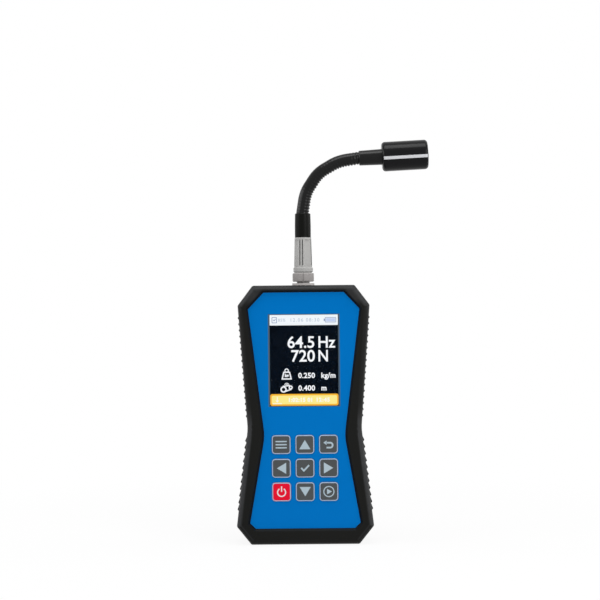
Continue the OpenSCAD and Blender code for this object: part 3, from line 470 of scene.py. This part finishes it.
class ArmSettings(PropertyGroup):
    """Plug, neck and sensor head"""
    plug: FloatVectorProperty(
        name="Plug", description="Colour of the plug",
        subtype="COLOR", size=3, default=(0.405, 0.401, 0.391), min=0, max=1)
    collar: FloatVectorProperty(
        name="Collar", description="Colour of the collar and the socket",
        subtype="COLOR", size=3, default=(0.36, 0.34, 0.332), min=0, max=1)
    sleeve: FloatVectorProperty(
        name="Sleeve", description="Colour of the sleeve between the plug and the neck",
        subtype="COLOR", size=3, default=(0.0028, 0.003, 0.0022), min=0, max=1)
    neck: FloatVectorProperty(
        name="Neck", description="Colour of the neck's cover",
        subtype="COLOR", size=3, default=(0.0055, 0.0055, 0.0055), min=0, max=1)
    wrinkled: FloatProperty(
        name="Wrinkled end", description="Length by the ferrule that is ridged all round",
        unit="LENGTH", default=0.009, min=0.001, max=0.05)
    ridge: FloatProperty(
        name="Ridge height", description="Height of the neck's ridges inside the bend",
        unit="LENGTH", default=0.00075, min=0.0, max=0.001)
    pitch: FloatProperty(
        name="Ridge pitch", description="From one ridge of the neck to the next",
        unit="LENGTH", default=0.0024, min=0.001, max=0.006)
    black: FloatVectorProperty(
        name="Head", description="Colour of the sensor head",
        subtype="COLOR", size=3, default=(0.0045, 0.0045, 0.0052), min=0, max=1)
    stripe: FloatVectorProperty(
        name="Stripe", description="Colour of the stripe along the sensor head",
        subtype="COLOR", size=3, default=(0.64, 0.645, 0.67), min=0, max=1)


class StageSettings(PropertyGroup):
    """Camera and light"""
    distance: FloatProperty(
        name="Camera distance", description="From the camera to the panel",
        unit="LENGTH", default=1.2, min=0.3, max=4)
    span: FloatProperty(
        name="View", description="Width of the view at the panel",
        unit="LENGTH", default=0.462, min=0.1, max=2)
    roll: FloatProperty(
        name="Roll", description="Turn of the camera about its own axis",
        unit="ROTATION", default=math.radians(-0.52), min=-1, max=1)
    sky: FloatProperty(
        name="Sky light", description="Strength of the even light from all round",
        default=0.24, min=0, max=2)


class TesterSettings(PropertyGroup):
    """All settings of the tester"""
    boot: PointerProperty(type=BootSettings)
    panel: PointerProperty(type=PanelSettings)
    display: PointerProperty(type=DisplaySettings)
    arm: PointerProperty(type=ArmSettings)
    stage: PointerProperty(type=StageSettings)


# Pieces


class TESTER_OT_boot(Operator):
    """Make the rubber boot with its grip ribs"""
    bl_idname = "tester.boot"
    bl_label = "Boot"

    def execute(self, context):
        s = context.scene.tester.boot
        rubber = kept("boot_rubber", lambda f: self.rubber(f, s))
        stand_in("boot", "rubber_boot", "meter", "boot_rubber", rubber, sharp=28.0)
        return {"FINISHED"}

    def rubber(self, f, s):
        """Matt rubber, painted paler on its rounded edges and on the two top corners: a painted
        sheen where they would catch the light from above, mixed with scuffed wear.
        """
        low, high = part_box("rubber_boot")
        tall = high.z - low.z
        cloud = f.noise(scale=55.0, detail=4.0)
        fine = f.noise(scale=3600.0, detail=3.0, rough=0.6)
        scuff = f.noise(scale=240.0, detail=6.0, rough=0.7)
        normal = f.node("ShaderNodeTexCoord", out="Normal")
        height = f.axis(f.place(), "Z")
        aside = f.node("ShaderNodeMath", {"operation": "ABSOLUTE"}, {0: f.axis(f.place(), "X")})

        # How far a face looks away from the boot's middle, with the way to the sides doubled
        middle, stretch = (0.0, 0.0, tall / 2), (2.0, 0.0, 1.0)
        away = f.vector("MULTIPLY", f.vector("SUBTRACT", f.place(), middle), stretch)
        lean = f.vector("DOT_PRODUCT", normal, f.vector("NORMALIZE", away), out="Value")

        # The rounds between the front and the sides are painted paler, most of all at the foot and
        # the head: a painted sheen of the light from above, mixed with wear; faces that look down
        # stay dark
        waist, shoulder = (tall * 0.55, tall * 0.45), (tall * 0.89, tall * 0.94)
        foot, head = f.ramp(height, *waist), f.ramp(height, *shoulder)
        rounded = f.ramp(lean - head * 0.22, 0.1, 0.42)
        flank = f.ramp(lean, 0.75, 0.97)
        not_below = f.ramp(f.axis(normal, "Z"), -0.35, -0.05)
        least, at_foot, at_head = 0.12, 0.9, 0.65
        share = least + (foot * at_foot + head * at_head) * (1 - least)
        edge = rounded * (1 - flank * 0.92) * not_below * share

        # So is the front of the two slanted corners at the top: a painted highlight where these
        # facets would catch the light
        front = f.ramp(f.axis(normal, "Y"), -0.6, -0.9)
        slant = f.ramp(aside * 0.753 + height * 0.659, 0.1525, 0.1545)
        outside = f.ramp(aside, 0.03, 0.036)
        above = f.ramp(height, tall * 0.92, tall * 0.95)
        lit_corner = slant * front * outside * above

        # Painted sheen and wear together, broken up by a noise, give the paler colour
        worn_and_lit = (edge + lit_corner * 0.55) * (0.45 + scuff * 0.9)
        plain_rubber = f.mix(cloud, shade(s.rubber, 0.9), shade(s.rubber, 1.1))
        return f.surface(
            base_color=f.mix(worn_and_lit, plain_rubber, (*s.scuffed_and_lit, 1.0)),
            roughness=s.rubber_rough + swing(cloud, 0.16) + swing(fine, 0.1) + worn_and_lit * 0.12,
            specular_ior_level=0.1,
            normal=f.bump(fine, strength=0.35, depth=0.00006))


class TESTER_OT_case(Operator):
    """Make the case, its door and the screws on the back"""
    bl_idname = "tester.case"
    bl_label = "Case"

    def execute(self, context):
        s = context.scene.tester.boot
        plastic = moulded("case_plastic", s.plastic,
                          rough=0.5, grain=5200.0, depth=0.00005, gloss=0.15)
        door = moulded("door_plastic", shade(s.plastic, 1.25),
                       rough=0.46, grain=4800.0, depth=0.00005, gloss=0.16)
        seal = moulded("seal_rubber", (0.2, 0.03, 0.025), rough=0.6, grain=3000.0, depth=0.00004)
        steel = metal("screw_steel", (0.42, 0.43, 0.45), rough=0.36)
        painted("front_shell", plastic)
        stand_in("rear_case", "rear_shell", "meter", "case_plastic", plastic)
        stand_in("cell_door", "battery_door", "battery_door", "door_plastic", door)
        for name, node, body in (("back_screws", "case_screws", "meter"),
                                 ("tab_screws", "door_screws", "battery_door")):
            bm = soften(copied(node), width=0.15 * MM, angle=60.0)
            stand_in(name, node, body, "screw_steel", steel, bm=bm, even=False)
        painted("case_seal", seal)
        return {"FINISHED"}


class TESTER_OT_inside(Operator):
    """Finish the pieces inside the case and make the cells"""
    bl_idname = "tester.inside"
    bl_label = "Inside"

    def execute(self, context):
        mask = kept("solder_mask", self.mask)
        painted("main_board", mask)
        painted("sensor_board", mask)
        painted("display_module", kept("display_glass", self.glass))
        painted("key_switches", moulded("switch_black", (0.04, 0.04, 0.042),
                                        rough=0.45, grain=3000.0, depth=0.00003))
        steel = metal("contact_steel", (0.62, 0.63, 0.65), rough=0.3)
        for node in ("board_screws", "cell_plates", "cell_springs"):
            painted(node, steel)
        self.cells(steel)
        return {"FINISHED"}

    def mask(self, f):
        """The boards' green lacquer, paler in patches."""
        patches = f.noise(scale=420.0, detail=1.0) > 0.56
        return f.surface(
            base_color=f.mix(patches, (0.008, 0.1, 0.028, 1), (0.02, 0.19, 0.05, 1)),
            roughness=0.32 + f.noise(scale=80.0) * 0.1)

    def glass(self, f):
        """The display where it isn't lit, nearly black."""
        cloud = f.noise(scale=24.0, detail=2.0)
        return f.surface(
            base_color=f.mix(cloud, (0.0008, 0.0024, 0.0062, 1), (0.0016, 0.0046, 0.0105, 1)),
            roughness=0.12 + f.noise(scale=300.0) * 0.05,
            specular_ior_level=0.02)

    def cells(self, steel):
        """Four round cells, every second one upside down."""
        count, can, tip = 4, 49.2, 1.2
        band = can * 0.72
        low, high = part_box("cells")
        if (high.z - low.z) / MM < can + tip:
            raise RuntimeError("the cells are longer than their bay")
        r = (high.y - low.y) / MM / 2
        pitch = ((high.x - low.x) / MM - r * 2) / (count - 1)
        mid = (low + high) / 2 / MM
        foot = [(0, 0), (r - 1.6, 0), (r - 1.0, 0.25), (r - 0.25, 0.3), (r, 0.8)]
        rim = [(r, can - 0.8), (r - 0.25, can - 0.3), (r - 1.0, can - 0.25), (r - 1.2, can)]
        knob = [(2.75, can), (2.7, can + tip - 0.2), (2.5, can + tip), (0, can + tip)]
        profile = [(x * MM, 0.0, z * MM) for x, z in [*foot, (r, band), *rim, *knob]]
        parts = []
        for i in range(count):
            bm = turned_round(profile, steps=48)
            bmesh.ops.dissolve_degenerate(bm, dist=MERGE, edges=bm.edges)
            bmesh.ops.recalc_face_normals(bm, faces=bm.faces)
            for face in bm.faces:
                c = face.calc_center_median() / MM
                bare = math.hypot(c.x, c.y) < r - 0.9
                face.material_index = 2 if bare else 1 if c.z > band else 0
            x, z = mid.x + (i - (count - 1) / 2) * pitch, high.z / MM - can - tip
            if i % 2:
                over = Matrix.Rotation(math.pi, 3, "Y")
                bmesh.ops.rotate(bm, verts=bm.verts, cent=(0, 0, 0), matrix=over)
                z = low.z / MM + can + tip
            bmesh.ops.translate(bm, verts=bm.verts, vec=Vector((x, mid.y, z)) * MM)
            parts.append(bm)
        smooth = {"grain": 700.0, "depth": 0.00002, "gloss": 0.6}
        wrap = moulded("cell_wrap", (0.05, 0.055, 0.065), rough=0.3, **smooth)
        gold = moulded("cell_band", (0.5, 0.36, 0.12), rough=0.28, **smooth)
        stand_in("round_cells", "cells", "meter", "cell_can", wrap, gold, steel,
                 bm=joined(*parts), even=False)


class TESTER_OT_panel(Operator):
    """Make the blue front overlay"""
    bl_idname = "tester.panel"
    bl_label = "Panel film"

    def execute(self, context):
        s = context.scene.tester.panel
        blue = film("overlay_blue", s.film, rough=0.42)
        stand_in("panel_film", "front_overlay", "meter", "overlay_blue", blue, even=False)
        return {"FINISHED"}


def key_sign(name):
    """A generic sign for each key, as flat shapes round the key's middle, in millimetres."""
    if name in ("up", "left", "down", "right"):
        turn = math.radians({"up": 0, "left": 90, "down": 180, "right": -90}[name])
        c, s = math.cos(turn), math.sin(turn)
        arrow = [(-4.3, -3.7), (4.3, -3.7), (0.0, 3.5)]
        return [plate([(x * c - z * s, x * s + z * c) for x, z in arrow], round_by=0.25)]
    if name == "menu":
        return [plate(box_points(8.6, 1.0), (0.0, z), round_by=0.3) for z in (2.4, 0.0, -2.4)]
    if name == "back":
        return [arc_plate(1.9, 1.3, -90, 180, (1.3, -0.7)),
                plate(box_points(3.2, 1.3), (-0.3, 1.2)),
                plate(box_points(2.8, 1.3), (-0.1, -2.6)),
                plate([(-3.9, 1.2), (-1.4, -0.6), (-1.4, 3.0)], round_by=0.15)]
    if name == "ok":
        tick = [(-3.4, -0.3), (-2.5, 0.6), (-0.9, -1.1), (2.7, 2.7), (3.6, 1.8), (-0.9, -2.9)]
        return [plate(tick, round_by=0.12)]
    if name == "power":
        return [arc_plate(3.1, 0.95, 122, 296, (0.0, -0.3)),
                plate(box_points(0.95, 4.2), (0.0, 2.2), round_by=0.2)]
    return [arc_plate(3.9, 0.8, 0, 360),
            plate([(-1.4, -2.1), (2.4, 0.0), (-1.4, 2.1)], round_by=0.15)]


class TESTER_OT_keys(Operator):
    """Make the nine keys with a generic sign on each"""
    bl_idname = "tester.keys"
    bl_label = "Keys"

    def execute(self, context):
        s = context.scene.tester.panel
        grey = (film("key_grey", s.key, rough=0.5), "key_grey", film("sign_pale", s.sign, rough=0.5))
        red = (film("key_red", s.power_key, rough=0.45), "key_red",
               film("sign_white", s.power_sign, rough=0.5))
        pale = film("line_pale", s.line_tint, rough=0.5)
        for key in KEYS:
            node = f"key_{key}"
            colour, slot, ink = red if key == "power" else grey
            cap = copied(node)
            self.line_edge(cap)
            stand_in(f"cap_{key}", node, node, slot, colour, pale, bm=cap, sharp=40.0)
            low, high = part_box(node)
            middle = ((low.x + high.x) / 2, low.y, (low.z + high.z) / 2)
            line = frame_plate(box_points(KEY_FACE, KEY_FACE), s.line / MM, round_by=KEY_CORNER)
            for name, shapes, finish in (("sign", key_sign(key), ink), ("line", [line], pale)):
                bm = raised(shapes, -PRINT, 0.0)
                bmesh.ops.translate(bm, verts=bm.verts, vec=middle)
                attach(piece(f"{name}_{key}", bm, finish), node)
        return {"FINISHED"}

    def line_edge(self, bm):
        """Carries the printed line over the slanted edge of a key's front."""
        flat, steep = -0.9, -0.3
        for face in bm.faces:
            if flat < face.normal.y < steep:
                face.material_index = 1


class Glass:
    """The display's lit area: its edges and the depths of its layers, in millimetres."""
    width, height = 52.6, 70.1
    bar, amber = 8.1, 9.1  # heights of the bars at the top and the bottom
    layer = 0.025

    def __init__(self):
        low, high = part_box("display_window")
        self.x, self.z = (low.x + high.x) / 2 / MM, (low.z + high.z) / 2 / MM
        self.left, self.right = self.x - self.width / 2, self.x + self.width / 2
        self.bottom, self.top = self.z - self.height / 2, self.z + self.height / 2
        self.face = low.y / MM
        self.fields, self.marks = high.y / MM + 0.05, high.y / MM + 0.02
        self.bar_z, self.amber_z = self.top - self.bar / 2, self.bottom + self.amber / 2
        self.weight_z, self.belt_z = self.bottom + 21.4, self.bottom + 11.7

    def show(self, name, colour, parts, front, strength=1.0):
        bm = raised(parts, front, front + self.layer)
        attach(piece(name, bm, lit(f"lit_{name}", colour, strength)), "meter")


class TESTER_OT_display(Operator):
    """Make the lit display behind its window"""
    bl_idname = "tester.display"
    bl_label = "Display"

    def execute(self, context):
        s = context.scene.tester.display
        glass = Glass()
        self.bars(glass, s)
        self.figures(glass, s)
        self.weight_and_belt(glass)
        self.status(glass)
        self.tray(glass)
        self.border(glass)
        painted("display_window", kept("window_clear", self.clear))
        return {"FINISHED"}

    def bars(self, g, s):
        """The pale bar at the top and the amber bar at the bottom with its lighter middle."""
        inner = box_points(g.width - 2.2, g.amber - 2.4)
        bar = plate(box_points(g.width, g.bar), (g.x, g.bar_z), round_by=0.3)
        amber = plate(box_points(g.width, g.amber), (g.x, g.amber_z), round_by=1.6)
        middle = plate(inner, (g.x, g.amber_z), round_by=1.0)
        g.show("status_bar", s.bar, [bar], g.fields)
        g.show("amber_bar", s.amber, [amber], g.fields)
        g.show("amber_middle", s.amber_middle, [middle], g.fields - 0.012)

    def figures(self, g, s):
        """Two lines of large figures and two of small ones, each with its unit."""
        big, small = s.figure_height / MM, s.small_height / MM
        unit_x, gap = g.left + 36.8, 1.9
        parts = []
        for figures, unit, narrow, z in ((s.first, "Hz", 0.94, g.top - 25.4),
                                         (s.second, "N", 0.87, g.top - 36.0)):
            parts.append(lettering(figures, big, (unit_x - gap, z), "RIGHT", bold=0.2))
            parts.append(lettering(unit, big, (unit_x, z), bold=0.2, narrow=narrow))
        for figures, unit, z in ((s.third, "kg/m", g.weight_z), (s.fourth, "m", g.belt_z)):
            for text, x in ((figures, g.left + 21.7), (unit, g.left + 39.3)):
                parts.append(lettering(text, small, (x, z), bold=0.17, spaced=1.05))
        g.show("figures", (0.93, 0.95, 0.98), parts, g.marks)

    def weight_and_belt(self, g):
        """A weight beside the third line and a belt round two wheels beside the fourth."""
        x, z = g.left + 12.8, g.weight_z - 1.2
        body = [(x - 4.1, z), (x + 4.1, z), (x + 2.6, z + 6.2), (x - 2.6, z + 6.2)]
        weight = [frame_plate(body, 1.0, round_by=0.4),
                  arc_plate(1.3, 0.8, 0, 360, (x, z + 6.9)),
                  lettering("kg", 2.3, (x, z + 2.1), "CENTER", bold=0.2)]
        z = g.belt_z + 1.2
        upper = [(-3.2, 1.7), (2.5, 2.2), (2.5, 3.1), (-3.2, 2.6)]
        lower = [(-1.6, -2.5), (3.9, -0.5), (3.6, 0.4), (-1.9, -1.6)]
        belt = [arc_plate(1.9, 1.1, 0, 360, (x - 2.5, z - 0.3)),
                arc_plate(1.1, 1.0, 0, 360, (x + 3.0, z + 1.2)),
                plate(upper, (x, z)),
                plate(lower, (x, z)),
                arc_plate(0.9, 0.5, 20, 140, (x, z + 2.7)),
                arc_plate(1.8, 0.5, 20, 140, (x, z + 2.7))]
        g.show("weight_and_belt", (0.86, 0.88, 0.92), weight + belt, g.marks)

    def status(self, g):
        """A card, figures and the charge in the bar at the top."""
        card, cell = (g.left + 3.6, g.bar_z), (g.right - 5.6, g.bar_z)
        tick = [(-1.0, 0.1), (-0.5, 0.5), (-0.1, 0.0), (0.9, 1.2), (1.2, 0.8), (-0.1, -0.9)]
        charge = plate(box_points(7.0, 2.5), cell, round_by=0.2)
        signs = [frame_plate(box_points(4.0, 4.6), 0.5, card, round_by=0.4),
                 plate(tick, card),
                 frame_plate(box_points(8.6, 4.0), 0.45, cell, round_by=0.5),
                 plate(box_points(0.9, 1.8), (g.right - 10.4, g.bar_z))]
        g.show("status_signs", (0.28, 0.36, 0.56), signs, g.marks, strength=0.9)
        figures = []
        for text, height, x, down, spaced in (("85%", 2.3, 6.4, 1.1, 1.1),
                                              ("12.06", 2.6, 15.5, 1.2, 1.3),
                                              ("08:30", 2.6, 28.0, 1.2, 1.3)):
            at = (g.left + x, g.bar_z - down)
            figures.append(lettering(text, height, at, bold=0.04, spaced=spaced))
        g.show("status_figures", (0.5, 0.58, 0.7), figures, g.marks)
        g.show("charge", (0.55, 0.64, 0.88), [charge], g.marks)

    def tray(self, g):
        """An arrow into a tray and a line of figures in the amber bar."""
        x, z = g.left + 5.4, g.amber_z
        parts = [plate(box_points(0.7, 3.0), (x, z + 0.8)),
                 plate([(-1.4, -0.4), (0.0, -2.0), (1.4, -0.4)], (x, z)),
                 plate(box_points(7.0, 0.6), (x, z - 2.9))]
        height = 2.9
        for text, x, spaced in (("1:02:15", 13.7, 1.1), ("01", 28.7, 1.05), ("12:45", 35.1, 1.2)):
            at = (g.left + x, z - height / 2)
            parts.append(lettering(text, height, at, bold=0.22, spaced=spaced))
        g.show("amber_signs", (1.0, 0.95, 0.86), parts, g.marks - 0.008)

    def border(self, g):
        """A printed line round the display's window and a second one beside each long side."""
        ink = film("display_border", (0.085, 0.13, 0.17), rough=0.4)
        line, side_line, side_gap = 0.6, 0.7, 0.95
        wide, tall = g.width + line * 2, g.height + line * 2
        ring = frame_plate(box_points(wide, tall), line, (g.x, g.z))
        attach(piece("display_edge", raised([ring], g.face - PRINT, g.face), ink), "meter")
        film_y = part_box("front_overlay")[0].y / MM
        sides = [plate(box_points(side_line, tall), (g.x + side * (g.width / 2 + side_gap), g.z))
                 for side in (-1, 1)]
        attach(piece("display_sides", raised(sides, film_y - PRINT, film_y), ink), "meter")

    def clear(self, f):
        """Clear plastic with faint smudges."""
        smudge = f.noise(scale=60.0, detail=4.0, rough=0.65)
        return f.surface(base_color=(0.02, 0.025, 0.035, 1), roughness=0.06 + smudge * 0.05,
                         specular_ior_level=0.12, alpha=0.015 + smudge * 0.015)


class TESTER_OT_plug(Operator):
    """Make the socket, the plug and the sleeve above it"""
    bl_idname = "tester.plug"
    bl_label = "Plug"

    def execute(self, context):
        s = context.scene.tester.arm
        cast = {"rough": 0.45, "grain": 2600.0, "depth": 0.00004, "gloss": 0.25, "mottle": 0.04}
        dull = moulded("collar_grey", s.collar, **cast)
        # The socket gets a lighter copy of the collar's grey: painted light that makes up for the
        # shade the collar casts on it
        pale = moulded("socket_grey", shade(s.collar, 1.68), **cast)
        grey = moulded("plug_grey", s.plug,
                       rough=0.4, grain=2600.0, depth=0.00003, gloss=0.3, mottle=0.03)
        # A darker grey for the slots and ledges: painted shade where they would lie in shadow
        slot_shade = moulded("slot_shade_grey", shade(s.plug, 0.4),
                       rough=0.6, grain=2600.0, depth=0.00004, gloss=0.15)
        black = moulded("sleeve_black", s.sleeve,
                        rough=0.36, grain=1500.0, depth=0.00004, gloss=0.08)
        cream = moulded("insulator_cream", (0.6, 0.54, 0.42), rough=0.5, grain=2600.0, depth=0.00002)
        grip = copied("plug_shell")
        self.paint_slot_shade(grip)
        stand_in("socket_body", "socket", "meter", "socket_grey", pale)
        stand_in("plug_grip", "plug_shell", "sensor_plug", "plug_grey", grey, slot_shade, bm=grip)
        stand_in("lock_collar", "plug_collar", "sensor_plug", "collar_grey", dull)
        stand_in("shrunk_sleeve", "neck_sleeve", "sensor_plug", "sleeve_black", black)
        for node in ("socket_pins", "plug_insulator"):
            painted(node, cream)
        painted("socket_nut", dull)
        return {"FINISHED"}

    def paint_slot_shade(self, bm):
        """Gives the second finish, a darker grey of painted shade, to the slots and to the ledges at
        the ends of the flats.
        """
        above_collar, level = 5 * MM, 0.9
        slot_length, slot_width, ledge_area = 12 * MM, 0.95 * MM, 8 * MM * MM
        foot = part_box("plug_collar")[1].z + above_collar
        for face in bm.faces:
            area, long = face.calc_area(), max(e.calc_length() for e in face.edges)
            slim = long > slot_length and area < long * slot_width
            ledge = abs(face.normal.z) > level and area < ledge_area
            if face.calc_center_median().z > foot and (slim or ledge):
                face.material_index = 1


class TESTER_OT_neck(Operator):
    """Make the ribbed cover of the neck, one length across each joint"""
    bl_idname = "tester.neck"
    bl_label = "Neck"

    def execute(self, context):
        s = context.scene.tester.arm
        black = moulded("neck_black", s.neck, rough=0.24, grain=2200.0, depth=0.00002, gloss=0.16)
        joints = [j for j in frame["joints"] if j["name"].startswith("neck_")]
        spots = [Vector(j["pos_m"]) for j in joints]
        low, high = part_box("head_housing")
        ways = [Vector((0, 0, 1))]
        ways += [(b - a).normalized() for a, b in zip(spots, spots[1:])]
        ways.append(((low + high) / 2 - spots[-1]).normalized())
        gap = spots[0].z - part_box("neck_sleeve")[1].z
        length = (spots[1] - spots[0]).length
        whole = gap * 2 + length * (len(spots) - 1)
        run = 0.0
        for i, (joint, spot) in enumerate(zip(joints, spots)):
            before, after = ways[i], ways[i + 1]
            reach = (gap if i == 0 else length / 2, gap if i == len(joints) - 1 else length / 2)
            foot, tip = spot - before * reach[0], spot + after * reach[1]
            bm = self.tube(reach, run, whole, s)
            self.lay(bm, spot, before, after, reach)
            cover = piece(f"neck_cover_{i + 1:02d}", bm, black, sharp=60.0)
            trim = (tip - foot).normalized() * min(0.6 * MM, sum(reach) * 0.2)
            foot + trim
            tip - trim
            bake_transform(cover)
            if joint["child"] in frame["nodes"]:
                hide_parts(joint["child"])
            run += sum(reach)
        return {"FINISHED"}

    def tube(self, reach, run, whole, s):
        """A straight ribbed length; the ridges show inside the bend, at +X, and by the ferrule."""
        crest, sides, rings_to_ridge = 5.05 * MM, 40, 10
        fullness, falloff, outer_share, end_share = 0.7, 6, 0.05, 0.6
        rings = max(4, round(sum(reach) / s.pitch * rings_to_ridge))
        line = [(crest, 0, -reach[0] + sum(reach) * k / rings) for k in range(rings + 1)]
        bm = turned_round(line, sides)
        bmesh.ops.holes_fill(bm, edges=[e for e in bm.edges if e.is_boundary], sides=0)
        bmesh.ops.recalc_face_normals(bm, faces=bm.faces)
        for vert in bm.verts:
            x, y, z = vert.co
            along = run + reach[0] + z
            wave = (0.5 + 0.5 * math.cos(math.tau * along / s.pitch)) ** fullness
            inner = (0.5 + 0.5 * x / crest) ** falloff
            end = max(0.0, 1 - (whole - along) / s.wrinkled)
            share = max(outer_share + (1 - outer_share) * inner, end_share * end)
            wide = 1 - s.ridge / crest * share * (1 - wave)
            vert.co = (x * wide, y * wide, z)
        return bm

    def lay(self, bm, spot, before, after, reach):
        """Lays a straight length along an arc from one direction to the other."""
        angle = before.angle(after)
        inner = Vector((before.z, 0, -before.x))
        side = Vector((0, 1, 0))
        touch = min(reach)
        radius = touch / math.tan(angle / 2) if angle > 1e-4 else 0.0
        for vert in bm.verts:
            x, y, z = vert.co
            if not radius or z < -touch or z > touch:
                way = after if z > 0 else before
                out = Vector((way.z, 0, -way.x))
                vert.co = spot + way * z + out * x + side * y
                continue
            turn = angle * (z + touch) / (2 * touch)
            c, s = math.cos(turn), math.sin(turn)
            out = inner * c - before * s
            along = spot - before * (touch - radius * s) + inner * (radius * (1 - c))
            vert.co = along + out * x + side * y


class TESTER_OT_head(Operator):
    """Make the ferrule and the sensor head with its stripe and window"""
    bl_idname = "tester.head"
    bl_label = "Head"

    def execute(self, context):
        s = context.scene.tester.arm
        black = moulded("head_black", s.black,
                        rough=0.2, grain=4200.0, depth=0.000008, gloss=0.108)
        dark = moulded("ferrule_black", (0.0048, 0.0048, 0.0048),
                       rough=0.25, grain=1500.0, depth=0.00001, gloss=0.17)
        white = film("stripe_white", s.stripe, rough=0.4)
        stand_in("ferrule", "head_ferrule", "sensor_head", "sleeve_black", dark)
        stand_in("head_barrel", "head_housing", "sensor_head", "head_black", black)
        stand_in("white_stripe", "head_stripe", "sensor_head", "stripe_white", white, even=False)
        stand_in("front_ring", "window_ring", "sensor_head", "head_black", black, even=False)
        painted("head_window", kept("window_red", self.window))
        clear = {"rough": 0.12, "grain": 900.0, "depth": 0.00001, "gloss": 0.6}
        painted("emitter", moulded("diode_red", (0.4, 0.03, 0.035), **clear))
        painted("receivers", moulded("diode_black", (0.012, 0.012, 0.018), **clear))
        return {"FINISHED"}

    def window(self, f):
        """Dark red plastic that lets a little light through."""
        return f.surface(
            base_color=f.mix(f.noise(scale=90.0), (0.05, 0.003, 0.006, 1), (0.075, 0.006, 0.01, 1)),
            roughness=0.06 + f.noise(scale=120.0) * 0.05,
            specular_ior_level=0.2,
            alpha=0.8 + f.noise(scale=60.0) * 0.05)


class TESTER_OT_stage(Operator):
    """Set up the floor, the light and the camera"""
    bl_idname = "tester.stage"
    bl_label = "Stage"

    def execute(self, context):
        s = context.scene.tester.stage
        scene = context.scene
        scene.view_settings.view_transform = "Standard"
        self.floor()
        self.sky(s.sky)
        self.lamp("soft_box", place=(0.03, -0.25, 1.2), wide=0.9, tall=0.5, power=8.0)
        self.lamp("key_light", place=(0.7, -0.85, 0.6), wide=0.6, tall=0.6, power=5.0)
        self.lamp("left_light", place=(-1.0, -0.1, 0.6), wide=1.1, tall=0.4, power=4.5)
        self.lamp("right_light", place=(1.0, 0.1, 0.5), wide=0.5, tall=0.4, power=2.0)
        self.camera(scene, s)
        return {"FINISHED"}

    def camera(self, scene, s):
        """Looks straight at the front, with a slight roll."""
        aside, panel, height = -0.0027, -0.018, 0.18862
        sensor = 36.0
        camera = bpy.data.cameras.new("camera")
        camera.sensor_width = sensor
        camera.lens = sensor * s.distance / s.span
        obj = bpy.data.objects.new("camera", camera)
        obj.location = (aside, panel - s.distance, height)
        turn = Matrix.Rotation(math.pi / 2, 4, "X") @ Matrix.Rotation(s.roll, 4, "Z")
        obj.rotation_euler = turn.to_euler()
        scene.collection.objects.link(obj)
        scene.camera = obj

    def seen(self, f):
        """One where the ray shows the background itself, and nought where it lights something."""
        path = "ShaderNodeLightPath"
        rays = (f.node(path, out="Is Camera Ray") + f.node(path, out="Is Glossy Ray")
                + f.node(path, out="Is Transmission Ray"))
        return f.node("ShaderNodeMath", {"operation": "MINIMUM"}, {0: rays, 1: 1.0})

    def floor(self):
        """A pale floor that fades into the background, with a faint shadow near the foot."""
        bm = bmesh.new()
        bmesh.ops.create_grid(bm, x_segments=1, y_segments=1, size=6.0)
        f = Finish(bpy.data.materials.new("pale_floor"))
        tint = f.mix(f.noise(scale=3.0), (0.86, 0.86, 0.86, 1), (0.9, 0.9, 0.9, 1))
        paint = f.node("ShaderNodeBsdfPrincipled", None, {"Base Color": tint, "Roughness": 0.7})
        glow = f.node("ShaderNodeEmission", None, {"Color": (1, 1, 1, 1), "Strength": 1.0})
        far = f.vector("LENGTH", f.place(), out="Value")
        fade = f.ramp(far, 0.1, 0.5, low=0.9, high=1.0)
        both = f.node("ShaderNodeMixShader", None, {0: self.seen(f) * fade, 1: paint, 2: glow})
        f.node("ShaderNodeOutputMaterial", None, {"Surface": both})
        piece("floor", bm, f.owner)

    def sky(self, strength):
        """White to the eye, and weaker as a light."""
        f = Finish(bpy.data.worlds.new("studio"))
        bpy.context.scene.world = f.owner
        level = self.seen(f) * (1.0 - strength) + strength
        light = f.node("ShaderNodeBackground", None, {"Color": (1, 1, 1, 1), "Strength": level})
        f.node("ShaderNodeOutputWorld", None, {"Surface": light})

    def lamp(self, name, place, wide, tall, power):
        """A flat lamp that looks at the upper half of the tester."""
        target = Vector((0.02, 0.0, 0.18))
        light = bpy.data.lights.new(name, "AREA")
        light.shape = "RECTANGLE"
        light.size, light.size_y = wide, tall
        light.energy = power
        obj = bpy.data.objects.new(name, light)
        obj.location = place
        obj.rotation_euler = (target - Vector(place)).to_track_quat("-Z", "Y").to_euler()
        bpy.context.scene.collection.objects.link(obj)


STEPS = (TESTER_OT_boot, TESTER_OT_case, TESTER_OT_inside, TESTER_OT_panel, TESTER_OT_keys,
         TESTER_OT_display, TESTER_OT_plug, TESTER_OT_neck, TESTER_OT_head, TESTER_OT_stage)


class TESTER_PT_steps(Panel):
    """Lists the pieces of the tester"""
    bl_idname = "TESTER_PT_steps"
    bl_label = "Belt tension tester"
    bl_space_type = "VIEW_3D"
    bl_region_type = "UI"
    bl_category = "Tester"

    def draw(self, context):
        for step in STEPS:
            self.layout.operator(step.bl_idname)


CLASSES = (BootSettings, PanelSettings, DisplaySettings, ArmSettings, StageSettings, TesterSettings,
           *STEPS, TESTER_PT_steps)


def register():
    for cls in CLASSES:
        bpy.utils.register_class(cls)
    bpy.types.Scene.tester = PointerProperty(type=TesterSettings)


def unregister():
    del bpy.types.Scene.tester
    for cls in reversed(CLASSES):
        bpy.utils.unregister_class(cls)


def main():
    register()
    bpy.ops.tester.boot()
    bpy.ops.tester.case()
    bpy.ops.tester.inside()
    bpy.ops.tester.panel()
    bpy.ops.tester.keys()
    bpy.ops.tester.display()
    bpy.ops.tester.plug()
    bpy.ops.tester.neck()
    bpy.ops.tester.head()
    bpy.ops.tester.stage()


if __name__ == "__main__":
    main()
